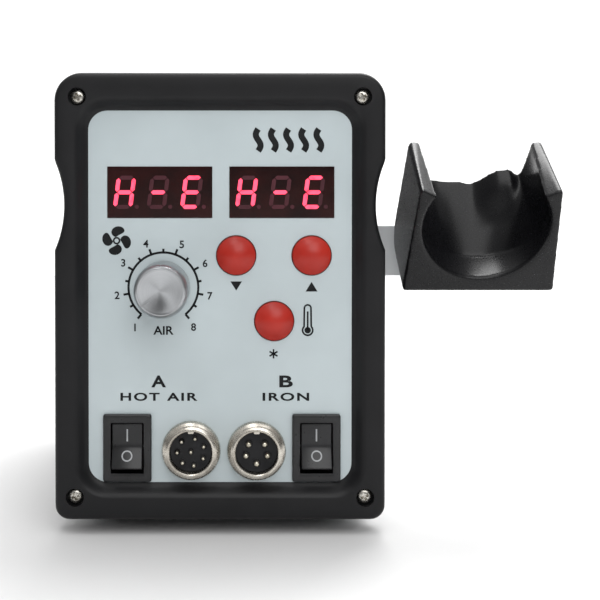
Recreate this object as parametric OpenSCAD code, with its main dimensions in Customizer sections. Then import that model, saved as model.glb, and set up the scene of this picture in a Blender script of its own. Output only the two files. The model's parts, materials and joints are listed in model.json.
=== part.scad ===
// Desktop soldering station with a hot-air outlet, an iron outlet and a side cradle for the air handle.
// X runs to the right, Y to the rear, Z up, and Z = 0 is the table. Each module draws its piece with X = 0
// in the middle of the front frame and Y = 0 at its front edge; placed() then moves the origin to the
// middle of the footprint.

/* [Front frame] */
// Width of the front frame
frame_w = 102; // [98:1:110]
// Height of the front frame
frame_h = 138; // [134:1:146]
// Depth of the front frame from front edge to chassis
frame_d = 14; // [14:1:18]
// Radius of the two upper corners
corner_top = 8.5; // [6:0.5:10]
// Radius of the two lower corners
corner_low = 4.5; // [3:0.5:6]
// Depth of the hand scallop in each side
scallop_depth = 2.9; // [1:0.1:3]
// Length of the hand scallop along the side
scallop_len = 27.7; // [20:0.1:30]
// Depth of the printed panel behind the front edge
recess = 3.5; // [3:0.1:4]
// Thickness of the plate that carries the controls
plate_t = 2.5; // [2:0.1:2.8]

/* [Case] */
// Total depth from the front edge to the rear panel
case_d = 147; // [140:1:160]
// Width of the sheet-metal cover
cover_w = 95; // [94:1:95]
// Thickness of the cover and chassis sheet
sheet = 1; // [0.8:0.1:1]
// Height of the rubber feet
foot_h = 7; // [6:0.5:8]

/* [Controls] */
// Height of the display windows
led_h = 15.8; // [15:0.1:16]
// Width of the display windows
led_w = 32.4; // [31:0.1:33]
// Diameter of the push-button caps
button_d = 12; // [10:0.5:12]
// Travel of the push buttons
button_travel = 1; // [0.6:0.1:1]
// Diameter of the air knob at its base
knob_d = 16.5; // [15:0.5:18]
// Length of the air knob
knob_len = 15; // [12:0.5:16]
// Swing of the rocker switches in degrees
rocker_swing = 22; // [18:1:22]

/* [Handle cradle] */
// Upward tilt of the cradle trough in degrees
cradle_tilt = 32.3; // [20:0.1:35]
// Width of the cradle at its foot
cradle_w = 47.7; // [46:0.1:50]
// Height of the cradle face
cradle_h = 38.3; // [37:0.1:40]
// Depth of the cradle along its trough
cradle_d = 29; // [28:0.5:32]
// Radius of the seat for the handle
seat_r = 19.25; // [19:0.05:19.5]

/* [Hidden] */
$fn = 48;

eps = 0.01;
slip = 0.05;
gap = 0.3;
base = 5;
plate_y = recess + 0.5;
plate_back = plate_y + plate_t;
scallop_z = 97.25;
panel_w = 81.7;
panel_z = [11, 126.5];
panel_r = 6;
bevel = 4.3;
frame_wall = 2.5;
tray_x = 46.4;
tray_z = foot_h + 1.2;
cover_top = base + frame_h - 3;
rear_y = case_d - 1;

led_x = [-18.7, 19.15];
led_z = 101.2;
led_front = 3.3;
led_depth = 7.2;
led_pin_pitch = 5;
button_at = [[5, 81.6], [28.4, 81.6], [16.8, 61.2]];
button_front = 0.3;
flange_y = plate_back + 0.2;
board_y = 12;
board_t = 1.6;
board_z = [49, 117];
board_w = 84;
board_fix = [[-40, 52], [40, 52], [-40, 114], [40, 114]];
knob_at = [-17.6, 71.7];
shaft_r = 3;
knob_front = 3 - knob_len;
nut_t = 2;

air_at = [-9, 21];
iron_at = [11.3, 20.9];
shell_rim = -1;
shell_back = 15;
insert_y = [2, 13.5];
switch_x = [-28.8, 29.9];
switch_z = 21.8;
rocker_axis_y = 5.3;
rocker_l = 7;
rocker_valley = 3;
switch_back = 18;
frame_screws = [[-43.9, 130.6], [43.9, 130.6], [-44.8, 7], [44.8, 7]];

// height above the table of a height on the front frame
function up(z) = base + z;

// extrudes a shape drawn in the X-Z plane from y0 to y1
module slab(y0, y1) {
    translate([0, y1, 0]) rotate([90, 0, 0]) linear_extrude(y1 - y0) children();
}

// extrudes a shape drawn in the Y-Z plane from x0 to x1
module side_slab(x0, x1) {
    translate([x0, 0, 0]) rotate([90, 0, 90]) linear_extrude(x1 - x0) children();
}

module rod_y(x, z, y0, y1, r) {
    translate([x, y1, z]) rotate([90, 0, 0]) cylinder(r = r, h = y1 - y0);
}

module rod_x(y, z, x0, x1, r) {
    translate([x0, y, z]) rotate([0, 90, 0]) cylinder(r = r, h = x1 - x0);
}

module rod_z(x, y, z0, z1, r) {
    translate([x, y, z0]) cylinder(r = r, h = z1 - z0);
}

module block(x, y, z) {
    translate([x[0], y[0], z[0]]) cube([x[1] - x[0], y[1] - y[0], z[1] - z[0]]);
}

// rectangle with round corners between two X and two Z limits
module round_rect(x, z, r) {
    translate([x[0] + r, z[0]]) square([x[1] - x[0] - 2 * r, z[1] - z[0]]);
    translate([x[0], z[0] + r]) square([x[1] - x[0], z[1] - z[0] - 2 * r]);
    for (cx = [x[0] + r, x[1] - r], cz = [z[0] + r, z[1] - r]) translate([cx, cz]) circle(r);
}

// pan-head screw with a cross recess, head towards -Z, shank towards +Z from the origin
module pan_screw(r, len, head_r, head_h) {
    cross = head_r * 0.9;
    difference() {
        union() {
            translate([0, 0, -head_h]) cylinder(r = head_r, h = head_h);
            cylinder(r = r, h = len);
        }
        for (a = [0, 90]) rotate(a)
            translate([-cross / 2, -0.3, -head_h - eps]) cube([cross, 0.6, head_h / 2]);
    }
}

module screw_y(x, y, z, r, len, head_r, head_h) {
    translate([x, y, z]) rotate([-90, 0, 0]) pan_screw(r, len, head_r, head_h);
}

// moves the station so that its origin is at the middle of its footprint
module placed() {
    middle_x = (cradle_x + cradle_w / 2 - frame_w / 2) / 2;
    middle_y = (inlet_y[1] + inlet_screw_h + knob_front) / 2;
    translate([-middle_x, -middle_y, 0]) children();
}

// front

module frame_outline() {
    w = frame_w / 2;
    z0 = up(0);
    z1 = up(frame_h);
    scallop_r = (pow(scallop_len / 2, 2) + pow(scallop_depth, 2)) / (2 * scallop_depth);
    difference() {
        union() {
            round_rect([-w, w], [z0, z0 + frame_h / 2], corner_low);
            round_rect([-w, w], [z0 + frame_h / 2 - corner_top, z1], corner_top);
            translate([-w, z0 + frame_h / 2 - 2 * corner_top]) square([frame_w, 3 * corner_top]);
        }
        for (s = [-1, 1]) translate([s * (w - scallop_depth + scallop_r), up(scallop_z)])
            circle(scallop_r, $fn = 96);
    }
}

// holes through the control plate, grown by a clearance
module plate_holes(grow) {
    for (x = led_x) translate([x - led_w / 2 - grow, up(led_z) - led_h / 2 - grow])
        square([led_w + 2 * grow, led_h + 2 * grow]);
    for (p = button_at) translate([p[0], up(p[1])]) circle(button_d / 2 + gap);
    translate([knob_at[0], up(knob_at[1])]) circle(3.6 + grow);
    for (p = [air_at, iron_at]) translate([p[0], up(p[1])]) circle(7.9 + grow);
    for (x = switch_x) translate([x - 6.5 - grow, up(switch_z) - 9.5 - grow])
        square([13 + 2 * grow, 19 + 2 * grow]);
}

module panel_shape(grow) {
    half = panel_w / 2 + grow;
    round_rect([-half, half], [up(panel_z[0] - grow), up(panel_z[1] + grow)], panel_r + grow);
}

module front_bezel() {
    color("#27272a") difference() {
        slab(0, frame_d) frame_outline();
        hull() {
            slab(-eps, 0) panel_shape(bevel, $fn = 32);
            slab(recess - eps, recess) panel_shape(0, $fn = 32);
        }
        slab(recess - 2 * eps, plate_y) panel_shape(0);
        slab(0, plate_back + 1) plate_holes(0.1);
        difference() {
            slab(plate_back, frame_d + 1)
                round_rect([-45.5, 45.5], [up(frame_wall), up(frame_h - frame_wall)], 4);
            for (p = frame_screws) rod_y(p[0], up(p[1]), plate_back - 1, frame_d + 2, 4.2);
            for (p = board_fix) rod_y(p[0], up(p[1]), plate_back - 1, board_y, 3);
        }
        for (p = frame_screws) {
            rod_y(p[0], up(p[1]), -1, frame_d + 1, 1.3);
            rod_y(p[0], up(p[1]), -1, 3, 2.8);
        }
        for (p = board_fix) rod_y(p[0], up(p[1]), plate_back, board_y + 1, 1.05);
    }
}

module panel_overlay() {
    color("#bcc6c8") difference() {
        slab(recess, plate_y) panel_shape(0);
        slab(0, plate_back) plate_holes(0.1);
    }
}

// one three-digit display block, its glass towards the front
module display(x) {
    rim = 0.8;
    color("#2a1512") difference() {
        block([x - led_w / 2, x + led_w / 2], [led_front, led_front + led_depth],
            [up(led_z) - led_h / 2, up(led_z) + led_h / 2]);
        block([x - led_w / 2 + rim, x + led_w / 2 - rim], [led_front - 1, led_front + 0.2],
            [up(led_z) - led_h / 2 + rim, up(led_z) + led_h / 2 - rim]);
    }
}

module display_left() display(led_x[0]);

module display_right() display(led_x[1]);

module pin_grid(y0, y1, r) {
    for (x = led_x, i = [-2.5 : 2.5], s = [-1, 1])
        rod_y(x + i * led_pin_pitch, up(led_z) + s * 5, y0, y1, r, $fn = 16);
}

module display_pins() {
    color("silver") pin_grid(led_front + led_depth, board_y + board_t + 1, 0.4);
}

module display_board() {
    color("darkgreen") difference() {
        block([-board_w / 2, board_w / 2], [board_y, board_y + board_t], [up(board_z[0]), up(board_z[1])]);
        pin_grid(board_y - 1, board_y + board_t + 1, 0.45);
        for (p = board_fix) rod_y(p[0], up(p[1]), board_y - 1, board_y + board_t + 1, 1.3);
    }
}

module board_screws() {
    color("silver") {
        for (p = board_fix) translate([p[0], board_y + board_t, up(p[1])]) rotate([90, 0, 0])
            pan_screw(1, 5, 2.2, 1.4);
        for (p = main_fix) translate([p[0], p[1], main_z + board_t]) rotate([180, 0, 0])
            pan_screw(1.4, 6, 2.8, 1.8);
    }
}

module tact_switches() {
    color("#303030") for (p = button_at) difference() {
        block([p[0] - 3.1, p[0] + 3.1], [board_y - 3, board_y], [up(p[1]) - 3.1, up(p[1]) + 3.1]);
        rod_y(p[0], up(p[1]), board_y - 4, board_y - 0.4, 1.6 + gap);
    }
}

// domed cap with a retaining flange behind the plate and a plunger into its switch
module button(p) {
    dome_r = 8;
    r = button_d / 2;
    color("#b43829") {
        intersection() {
            rod_y(p[0], up(p[1]), button_front - 1, flange_y + eps, r);
            translate([p[0], button_front + dome_r, up(p[1])]) sphere(dome_r, $fn = 64);
        }
        rod_y(p[0], up(p[1]), button_front + 3.2, flange_y + 0.4, r);
        rod_y(p[0], up(p[1]), flange_y, flange_y + 0.8, r + 0.9);
        rod_y(p[0], up(p[1]), flange_y + 0.4, board_y - 1.6, 1.6);
    }
}

module button_down() button(button_at[0]);

module button_up() button(button_at[1]);

module button_set() button(button_at[2]);

// air knob

module pot_body() {
    x = knob_at[0];
    z = up(knob_at[1]);
    color("#3a5f8a") difference() {
        union() {
            block([x - 8, x + 8], [plate_back + 0.1, board_y], [z - 8, z + 8]);
            rod_y(x, z, recess - nut_t - 0.5, plate_back + 0.2, 3.5);
        }
        rod_y(x, z, 0, board_y - 1.5, shaft_r + slip);
    }
}

module pot_nut() {
    color("silver") difference() {
        rod_y(knob_at[0], up(knob_at[1]), recess - nut_t, recess, 5.6, $fn = 6);
        rod_y(knob_at[0], up(knob_at[1]), 0, recess + 1, 3.51);
    }
}

module pot_shaft() {
    color("silver") rod_y(knob_at[0], up(knob_at[1]), knob_front + 4, board_y - 1.8, shaft_r);
}

module knob() {
    r = knob_d / 2;
    color("#c9cbcd") translate([knob_at[0], 3, up(knob_at[1])]) rotate([90, 0, 0]) difference() {
        rotate_extrude($fn = 96) polygon([[0, 4.2], [6.4, 4.2], [6.4, 0], [r, 0], [r, knob_len - 2.6],
            [r - 0.3, knob_len - 1.6], [r - 1.1, knob_len], [0, knob_len]]);
        cylinder(r = shaft_r + eps, h = knob_len - 4);
        rotate(125.4) translate([-0.35, 3.8, knob_len - 0.5]) cube([0.7, r, 1]);
    }
}

// sockets

module socket_shell(p) {
    color("#c8c4b8") translate([p[0], recess, up(p[1])]) rotate([90, 0, 0]) {
        rotate_extrude($fn = 96) polygon([[6.6, -11.5], [7.85, -11.5], [7.85, 0], [9.1, 0], [9.1, 1.3],
            [8.8, 1.9], [8, 2.5], [8, 3.9], [7.5, 4.5], [6.6, 4.5]]);
        intersection() {
            translate([-0.9, 5.9, 1.6]) cube([1.8, 1, 2.6]);
            cylinder(r = 6.62, h = 6);
        }
    }
}

function air_pins() = concat([[0, 0]], [for (i = [0 : 6]) 4.27 * [sin(17.5 + 50 * i), cos(17.5 + 50 * i)]]);
function iron_pins() = [for (a = [-108, -45, 45, 108, 180]) 3.5 * [sin(a), cos(a)]];

module socket_insert(p, pins, r) {
    color("#1b1b1d") difference() {
        rod_y(p[0], up(p[1]), insert_y[0], insert_y[1], 6.59);
        for (q = pins)
            rod_y(p[0] + q[0], up(p[1]) + q[1], insert_y[0] - 1, insert_y[1] + 1, r + eps, $fn = 24);
    }
}

module socket_pins(p, pins, r) {
    color("#d8d2bd") for (q = pins) rod_y(p[0] + q[0], up(p[1]) + q[1], -0.2, 18, r, $fn = 24);
}

module air_socket_shell() socket_shell(air_at);

module air_socket_insert() socket_insert(air_at, air_pins(), 0.5);

module air_socket_pins() socket_pins(air_at, air_pins(), 0.5);

module iron_socket_shell() socket_shell(iron_at);

module iron_socket_insert() socket_insert(iron_at, iron_pins(), 0.8);

module iron_socket_pins() socket_pins(iron_at, iron_pins(), 0.8);

module socket_nuts() {
    color("#c8c4b8") for (p = [air_at, iron_at]) translate([p[0], 0, up(p[1])]) difference() {
        translate([0, plate_back + 2.5, 0]) rotate([90, 30, 0]) cylinder(r = 11, h = 2.5, $fn = 6);
        rod_y(0, 0, 0, 20, 7.86);
    }
}

// rocker switches

module switch_housing(x) {
    z = up(switch_z);
    color("#1c1c1e") difference() {
        union() {
            block([x - 7.5, x + 7.5], [recess - 1.5, recess], [z - 10.5, z + 10.5]);
            block([x - 6.5, x + 6.5], [recess - eps, switch_back], [z - 9.5, z + 9.5]);
        }
        block([x - 5.05, x + 5.05], [0, recess - 1], [z - 7.8, z + 7.8]);
        block([x - 5.05, x + 5.05], [recess - 1.1, switch_back - 2], [z - 8.7, z + 8.7]);
        rod_x(rocker_axis_y, z, x - 6, x + 6, 1.2 + slip);
    }
}

// rocker drawn level, then tipped so that its upper half is pressed in
module switch_rocker(x) {
    tip = rocker_swing / 2;
    end_y = -rocker_valley - rocker_l * sin(tip);
    end_z = rocker_l * cos(tip);
    color("#202022") translate([x, rocker_axis_y, up(switch_z)]) {
        rotate([-tip, 0, 0]) intersection() {
            side_slab(-4.7, 4.7) polygon([[-rocker_valley, 0], [end_y, end_z], [end_y + 1.2, end_z + 0.1],
                [1.5, 3.2], [3.2, 1.6], [3.2, -1.6], [1.5, -3.2], [end_y + 1.2, -end_z - 0.1],
                [end_y, -end_z]]);
            rod_x(0, 0, -5, 5, norm([end_y, end_z]), $fn = 96);
        }
        rod_x(0, 0, -5.8, 5.8, 1.2);
    }
}

module air_switch_housing() switch_housing(switch_x[0]);

module iron_switch_housing() switch_housing(switch_x[1]);

module air_switch_rocker() switch_rocker(switch_x[0]);

module iron_switch_rocker() switch_rocker(switch_x[1]);

module switch_terminals() {
    color("silver") for (x = switch_x, z = [-6.5, 0]) difference() {
        block([x - 2.4, x + 2.4], [switch_back, switch_back + 8],
            [up(switch_z) + z - 0.4, up(switch_z) + z + 0.4]);
        rod_z(x, switch_back + 5.5, 0, 60, 0.8);
    }
}

module bezel_screws() {
    color("silver") for (p = frame_screws) screw_y(p[0], 3, up(p[1]), 1.2, frame_d - 1.8, 2.3, 1.6);
}

// case
fix_y = [30, 130];
foot_at = [[-36, 26], [36, 26], [-36, 132], [36, 132]];
rear_fix = [[-41, 14], [41, 14]];
flange_h = 12;
trafo_y = [92, 120];
trafo_fix_x = 35;
main_y = [34, 80];
main_z = 15;
main_w = 84;
main_fix = [[-38, 38], [38, 38], [-38, 76], [38, 76]];
bracket_z = up(81);
bracket_h = 16.8;
bracket_fix_y = [46, 56];
inlet_at = [-12, 100];

module chassis_tray() {
    front_y = frame_d;
    color("#9a9da0") difference() {
        union() {
            block([-tray_x, tray_x], [front_y, rear_y], [foot_h, tray_z]);
            for (x = [-tray_x, tray_x - sheet])
                block([x, x + sheet], [front_y, rear_y], [foot_h, tray_z + flange_h]);
            slab(front_y, front_y + 1.2) {
                round_rect([-tray_x, tray_x], [up(60), cover_top - sheet - 0.3], 3);
                translate([-tray_x, foot_h]) square([2 * tray_x, 80]);
            }
            block([-tray_x, tray_x], [rear_y - 1.2, rear_y], [foot_h, tray_z + flange_h]);
        }
        block([-42.8, 42.8], [front_y - 1, front_y + 2], [up(16), up(120)]);
        block([-38.5, 38.5], [front_y - 1, front_y + 2], [up(9), up(126)]);
        for (p = frame_screws) rod_y(p[0], up(p[1]), front_y - 1, front_y + 2, 1.21);
        for (p = foot_at) rod_z(p[0], p[1], foot_h - 1, tray_z + 1, 1.51);
        for (p = main_fix) rod_z(p[0], p[1], foot_h - 1, tray_z + 1, 1.8);
        for (s = [-1, 1]) rod_z(s * trafo_fix_x, 106, foot_h - 1, tray_z + 1, 1.51);
        for (y = fix_y) rod_x(y, 14, -60, 60, 1.26);
        for (p = rear_fix) rod_y(p[0], p[1], rear_y - 3, rear_y + 1, 1.26);
    }
}

module slot_x(y, z0, z1, x0, x1) {
    block([x0, x1], [y - 1.5, y + 1.5], [z0, z1]);
    for (z = [z0, z1]) rod_x(y, z, x0, x1, 1.5, $fn = 24);
}

module top_cover() {
    w = cover_w / 2;
    color("#202124") difference() {
        slab(frame_d, case_d + 1) {
            round_rect([-w, w], [cover_top - 40, cover_top], 3);
            translate([-w, foot_h + 1.5]) square([cover_w, cover_top - 20 - foot_h]);
        }
        slab(frame_d - 1, case_d + 2) {
            round_rect([sheet - w, w - sheet], [cover_top - 40, cover_top - sheet], 2);
            translate([sheet - w, 0]) square([cover_w - 2 * sheet, cover_top - 20]);
        }
        for (y = [80 : 7 : 136]) slot_x(y, up(66), up(98), -60, 60);
        for (y = fix_y) rod_x(y, 14, -60, 60, 1.4);
        for (y = bracket_fix_y) rod_x(y, bracket_z, 40, 60, 1.6);
    }
}

module cover_screws() {
    color("#303030") {
        for (y = fix_y, s = [-1, 1]) translate([s * cover_w / 2, y, 14]) rotate([0, -s * 90, 0])
            pan_screw(1.25, 4, 2.6, 1.7);
        for (p = rear_fix) translate([p[0], case_d + 0.2, p[1]]) rotate([90, 0, 0])
            pan_screw(1.25, 5, 2.6, 1.7);
    }
}

module rear_panel() {
    z = inlet_at[1];
    color("#202124") difference() {
        slab(rear_y, case_d + 0.2) {
            round_rect([-tray_x, tray_x], [up(60), cover_top - sheet - 0.2], 3);
            translate([-tray_x, tray_z + 0.3]) square([2 * tray_x, 80]);
        }
        block([inlet_at[0] - 14, inlet_at[0] + 14], [rear_y - 1, case_d + 1], [z - 15, z + 15]);
        for (s = [-1, 1]) rod_y(inlet_at[0] + s * 20, z, rear_y - 1, case_d + 1, 1.6);
        for (p = rear_fix) rod_y(p[0], p[1], rear_y - 1, case_d + 1, 1.4);
        for (x = [-30 : 6 : 30]) {
            block([x - 1.2, x + 1.2], [rear_y - 1, case_d + 1], [40, 62]);
            for (zz = [40, 62]) rod_y(x, zz, rear_y - 1, case_d + 1, 1.2, $fn = 24);
        }
    }
}

module feet() {
    color("#1a1a1a") for (p = foot_at) translate([p[0], p[1], 0]) rotate_extrude()
        polygon([[3.6, 0], [6, 0], [6.6, 0.8], [7, foot_h], [1.55, foot_h], [1.55, 3.2], [3.6, 3.2]]);
}

module foot_screws() {
    color("silver") for (p = foot_at) translate([p[0], p[1], 3.2]) pan_screw(1.5, 8, 2.9, 1.8);
}

// mains inlet
inlet_y = [147.2, 150.2];
inlet_screw_h = 1.6;
inlet_depth = 130;
drawer_z = [6, 12.5];
inlet_pin_at = [[-7, -8], [7, -8], [0, -3]];

module inlet_cavity() {
    x = inlet_at[0];
    z = inlet_at[1];
    slab(133, 152) translate([x, z])
        polygon([[-12.2, -13], [12.2, -13], [12.2, -0.5], [8.2, 3.5], [-8.2, 3.5], [-12.2, -0.5]]);
}

module inlet_housing() {
    x = inlet_at[0];
    z = inlet_at[1];
    color("#18181a") difference() {
        union() {
            slab(inlet_y[0], inlet_y[1]) round_rect([x - 25, x + 25], [z - 16.5, z + 16.5], 4);
            block([x - 13.9, x + 13.9], [inlet_depth - 2, inlet_y[0] + eps], [z - 14.8, z + 14.8]);
        }
        inlet_cavity();
        block([x - 11, x + 11], [inlet_depth, 152], [z + drawer_z[0], z + drawer_z[1]]);
        for (s = [-1, 1]) rod_y(x + s * 20, z, 140, 152, 1.6);
        for (p = inlet_pin_at) inlet_blade(p, 120, 134, eps);
    }
}

module inlet_blade(p, y0, y1, grow) {
    x = inlet_at[0] + p[0];
    z = inlet_at[1] + p[1];
    block([x - 2 - grow, x + 2 + grow], [y0, y1], [z - 1 - grow, z + 1 + grow]);
}

module inlet_pins() {
    color("silver") for (p = inlet_pin_at) inlet_blade(p, 120, 145, 0);
}

module inlet_screws() {
    color("silver") for (s = [-1, 1]) translate([inlet_at[0] + s * 20, inlet_y[1], inlet_at[1]])
        rotate([90, 0, 0]) pan_screw(1.5, 7, 2.8, inlet_screw_h);
}

module fuse_drawer() {
    x = inlet_at[0];
    z = inlet_at[1];
    color("#222224") difference() {
        block([x - 10.9, x + 10.9], [inlet_depth + 0.2, inlet_y[1] + 0.8],
            [z + drawer_z[0] + 0.1, z + drawer_z[1] - 0.1]);
        block([x - 2.6, x + 2.6], [inlet_depth + 0.9, inlet_depth + 20.1], [z + 9.1, z + 14]);
        rod_y(x, z + 9.1, inlet_depth + 0.9, inlet_depth + 20.1, 2.6);
        for (s = [-7, 7])
            block([x + s - 2.5, x + s + 2.5], [inlet_depth + 1, inlet_depth + 18], [z + 7.2, z + 14]);
    }
}

module fuse() {
    color("#d9dde0") rod_y(inlet_at[0], inlet_at[1] + 9.1, inlet_depth + 0.92, inlet_depth + 20.08, 2.58);
}

// transformer
core_z = [tray_z + 1.2, tray_z + 1.2 + 47.5];
leg = 9.5;

module transformer_core() {
    color("#55585c") difference() {
        block([-28.5, 28.5], trafo_y, core_z);
        for (s = [-1, 1]) block([s * 14.25 - 4.75, s * 14.25 + 4.75], [trafo_y[0] - 1, trafo_y[1] + 1],
            [core_z[0] + leg, core_z[1] - leg]);
    }
}

module coil_ring(outer, inner, z0, z1) {
    mid = (trafo_y[0] + trafo_y[1]) / 2;
    difference() {
        block([-outer[0], outer[0]], [mid - outer[1], mid + outer[1]], [z0, z1]);
        block([-inner[0], inner[0]], [mid - inner[1], mid + inner[1]], [z0 - 1, z1 + 1]);
    }
}

module transformer_bobbin() {
    z0 = core_z[0] + leg + 0.1;
    z1 = core_z[1] - leg - 0.1;
    color("ivory") {
        coil_ring([10.6, 15.1], [9.55, 14.05], z0, z1);
        coil_ring([18.9, 23.2], [9.55, 14.05], z0, z0 + 1);
        coil_ring([18.9, 23.2], [9.55, 14.05], z1 - 1, z1);
    }
}

module transformer_winding() {
    color("#c9a227") coil_ring([18.4, 22.6], [10.62, 15.12], core_z[0] + leg + 1.2, core_z[1] - leg - 1.2);
}

module transformer_frame() {
    t = 1.2;
    mid = (trafo_y[0] + trafo_y[1]) / 2;
    color("#8d9194") difference() {
        union() {
            block([-28.5 - t, 28.5 + t], [mid - 11, mid + 11], [core_z[1], core_z[1] + t]);
            for (s = [-1, 1]) {
                block([s * 29.1 - 0.6, s * 29.1 + 0.6], [mid - 11, mid + 11], [tray_z, core_z[1] + eps]);
                block([s * 34.5 - 6, s * 34.5 + 6], [mid - 7, mid + 7], [tray_z, core_z[0]]);
            }
        }
        for (s = [-1, 1]) rod_z(s * trafo_fix_x, mid, 0, 30, 1.7);
    }
    color("#8d9194") block([-28.4, 28.4], [mid - 9, mid + 9], [tray_z, core_z[0]]);
}

module transformer_screws() {
    color("silver") for (s = [-1, 1]) translate([s * trafo_fix_x, 106, core_z[0]]) rotate([180, 0, 0])
        pan_screw(1.5, 5, 3, 2);
}

// main board
board_top = main_z + board_t;

module main_board() {
    color("darkgreen") difference() {
        block([-main_w / 2, main_w / 2], main_y, [main_z, board_top]);
        for (p = main_fix) rod_z(p[0], p[1], main_z - 1, board_top + 1, 1.6);
    }
}

module board_standoffs() {
    color("#b8912f") for (p = main_fix) difference() {
        union() {
            rod_z(p[0], p[1], tray_z, main_z, 2.8);
            rod_z(p[0], p[1], foot_h, tray_z + eps, 1.78);
        }
        rod_z(p[0], p[1], main_z - 5.5, main_z + 1, 1.41);
    }
}

module relay() {
    color("#2b5fa8") block([-33, -17.4], [46, 65], [board_top, board_top + 15.5]);
}

module capacitors() {
    color("#26282d") {
        for (x = [-10, 1]) rod_z(x, 61.5, board_top, board_top + 20, 5);
        rod_z(10, 72, board_top, board_top + 12, 4);
    }
}

module heatsink() {
    color("#8c9094") {
        block([8, 40], [60, 62.5], [board_top, board_top + 28]);
        for (x = [8 : 4 : 38]) block([x, x + 1.4], [62.4, 66], [board_top + 4, board_top + 28]);
    }
}

module triacs() {
    color("#1b1b1b") for (x = [10, 24]) difference() {
        union() {
            block([x, x + 10], [55.5, 60], [board_top + 5, board_top + 14]);
            block([x, x + 10], [58.7, 60], [board_top + 13, board_top + 21]);
            for (i = [1 : 3])
                block([x + i * 2.5 - 0.4, x + i * 2.5 + 0.4], [57, 57.6], [board_top, board_top + 6]);
        }
        rod_y(x + 5, board_top + 17.5, 50, 70, 1.8);
    }
}

module terminal_blocks() {
    color("#2f8f4e") for (x = [-36, -18]) difference() {
        block([x, x + 15], [69, 73.5], [board_top, board_top + 10]);
        for (i = [0 : 2]) rod_z(x + 2.5 + i * 5, 71.2, board_top + 6, board_top + 12, 1.5);
    }
}

module control_chips() {
    color("#17181a") {
        block([-12, 23.5], [48, 55], [board_top + 0.6, board_top + 4.2]);
        for (s = [-1, 1], i = [0 : 13]) block([-9.5 + i * 2.54, -9 + i * 2.54],
            [51.5 + s * 3.75 - 0.25, 51.5 + s * 3.75 + 0.25], [board_top, board_top + 2.4]);
        block([25, 33], [40, 46], [board_top, board_top + 2]);
    }
}

// flat cable from the back of the display board down to the main board
module ribbon_cable() {
    y0 = board_y + board_t;
    x = 6.5;
    bend = 20;
    color("#8a8d92") {
        block([-8, 8], [y0, y0 + 5], [66, 72]);
        side_slab(-x, x) difference() {
            intersection() {
                translate([y0 + 5, 69.5 - bend]) circle(bend, $fn = 64);
                translate([y0 + 5, 69.5 - bend]) square(bend + 1);
            }
            translate([y0 + 5, 69.5 - bend]) circle(bend - 1);
        }
        block([-x, x], [y0 + 4 + bend, y0 + 5 + bend], [board_top + 8, 69.5 - bend + eps]);
        block([-8, 8], [y0 + 2 + bend, y0 + 7 + bend], [board_top, board_top + 8]);
    }
}

// handle cradle and its bracket
cradle_x = 81.35;
cradle_foot = [10, up(69.8)];
pivot = [31.5, up(77)];
lug_w = 12;
ear_t = 1.2;
ear_r = 4.8;
strap_y = 37;
magnet_d = 9;
cradle_floor = 5.1;
seat_u = cradle_floor + seat_r;
boss_at = [11.35, 25.9];
boss_top = 27.5;
mitre_d = 11.9;
mitre_tilt = 22.7;
rear_rim = [[0, 22.6], [7, 23.2], [11.3, 23.6], [13.5, 24.1], [15.3, 24.9], [17.9, 37.6], [18, 44],
    [-18, 44], [-17.9, 37.6], [-15.3, 24.9], [-13.5, 24.1], [-11.3, 23.6], [-7, 23.2]];
arm_end = cradle_x + lug_w / 2 + gap + ear_t;

module cradle_bracket() {
    x0 = cover_w / 2;
    ears = [cradle_x - lug_w / 2 - gap - ear_t, cradle_x + lug_w / 2 + gap];
    color("#b9bcbf") difference() {
        union() {
            block([x0, x0 + ear_t], [strap_y, 62],
                [bracket_z - bracket_h / 2, bracket_z + bracket_h / 2]);
            block([x0, arm_end], [strap_y, strap_y + ear_t],
                [bracket_z - bracket_h / 2, bracket_z + bracket_h / 2]);
            for (x = ears) side_slab(x, x + ear_t) {
                translate(pivot) circle(ear_r);
                translate([pivot[0], pivot[1] - ear_r]) square([strap_y - pivot[0] + eps, 2 * ear_r]);
            }
        }
        for (y = bracket_fix_y) rod_x(y, bracket_z, x0 - 1, x0 + 3, 1.6);
        rod_x(pivot[0], pivot[1], ears[0] - 1, arm_end + 1, 1.51);
    }
}

module bracket_screws() {
    color("silver") for (y = bracket_fix_y) translate([cover_w / 2 + ear_t, y, bracket_z]) rotate([0, -90, 0])
        pan_screw(1.45, 7, 2.8, 1.8);
}

module bracket_nuts() {
    color("silver") for (y = bracket_fix_y) difference() {
        translate([cover_w / 2 - sheet - 2.4, y, bracket_z]) rotate([0, 90, 0])
            cylinder(r = 3.1, h = 2.4, $fn = 6);
        rod_x(y, bracket_z, 40, 50, 1.46);
    }
}

// frame of the trough: local Y runs along it, local Z away from its foot
module trough_frame() {
    translate([cradle_x, cradle_foot[0], cradle_foot[1]]) rotate([cradle_tilt, 0, 0]) children();
}

module cradle_face() {
    half = cradle_w / 2;
    top = half - cradle_h * tan(3.6);
    polygon([[-half, 0], [half, 0], [top, cradle_h], [-top, cradle_h]]);
}

// the trough bends upwards behind its front lip: the two lengths meet on a plane tilted by half the bend
module trough_mitre(len) {
    translate([0, mitre_d, cradle_floor]) rotate([mitre_tilt, 0, 0]) block([-30, 30], [-len, eps], [-20, 60]);
}

module trough_seat(len) {
    intersection() {
        rod_y(0, seat_u, -30, 30, seat_r, $fn = 96);
        trough_mitre(len);
    }
}

module cradle_block() {
    corner = 9;
    intersection() {
        slab(0, cradle_d) cradle_face();
        side_slab(-30, 30) union() {
            square([cradle_d - corner, cradle_h + 1]);
            translate([0, corner]) square([cradle_d, cradle_h]);
            translate([cradle_d - corner, corner]) circle(corner, $fn = 96);
        }
    }
}

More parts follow.
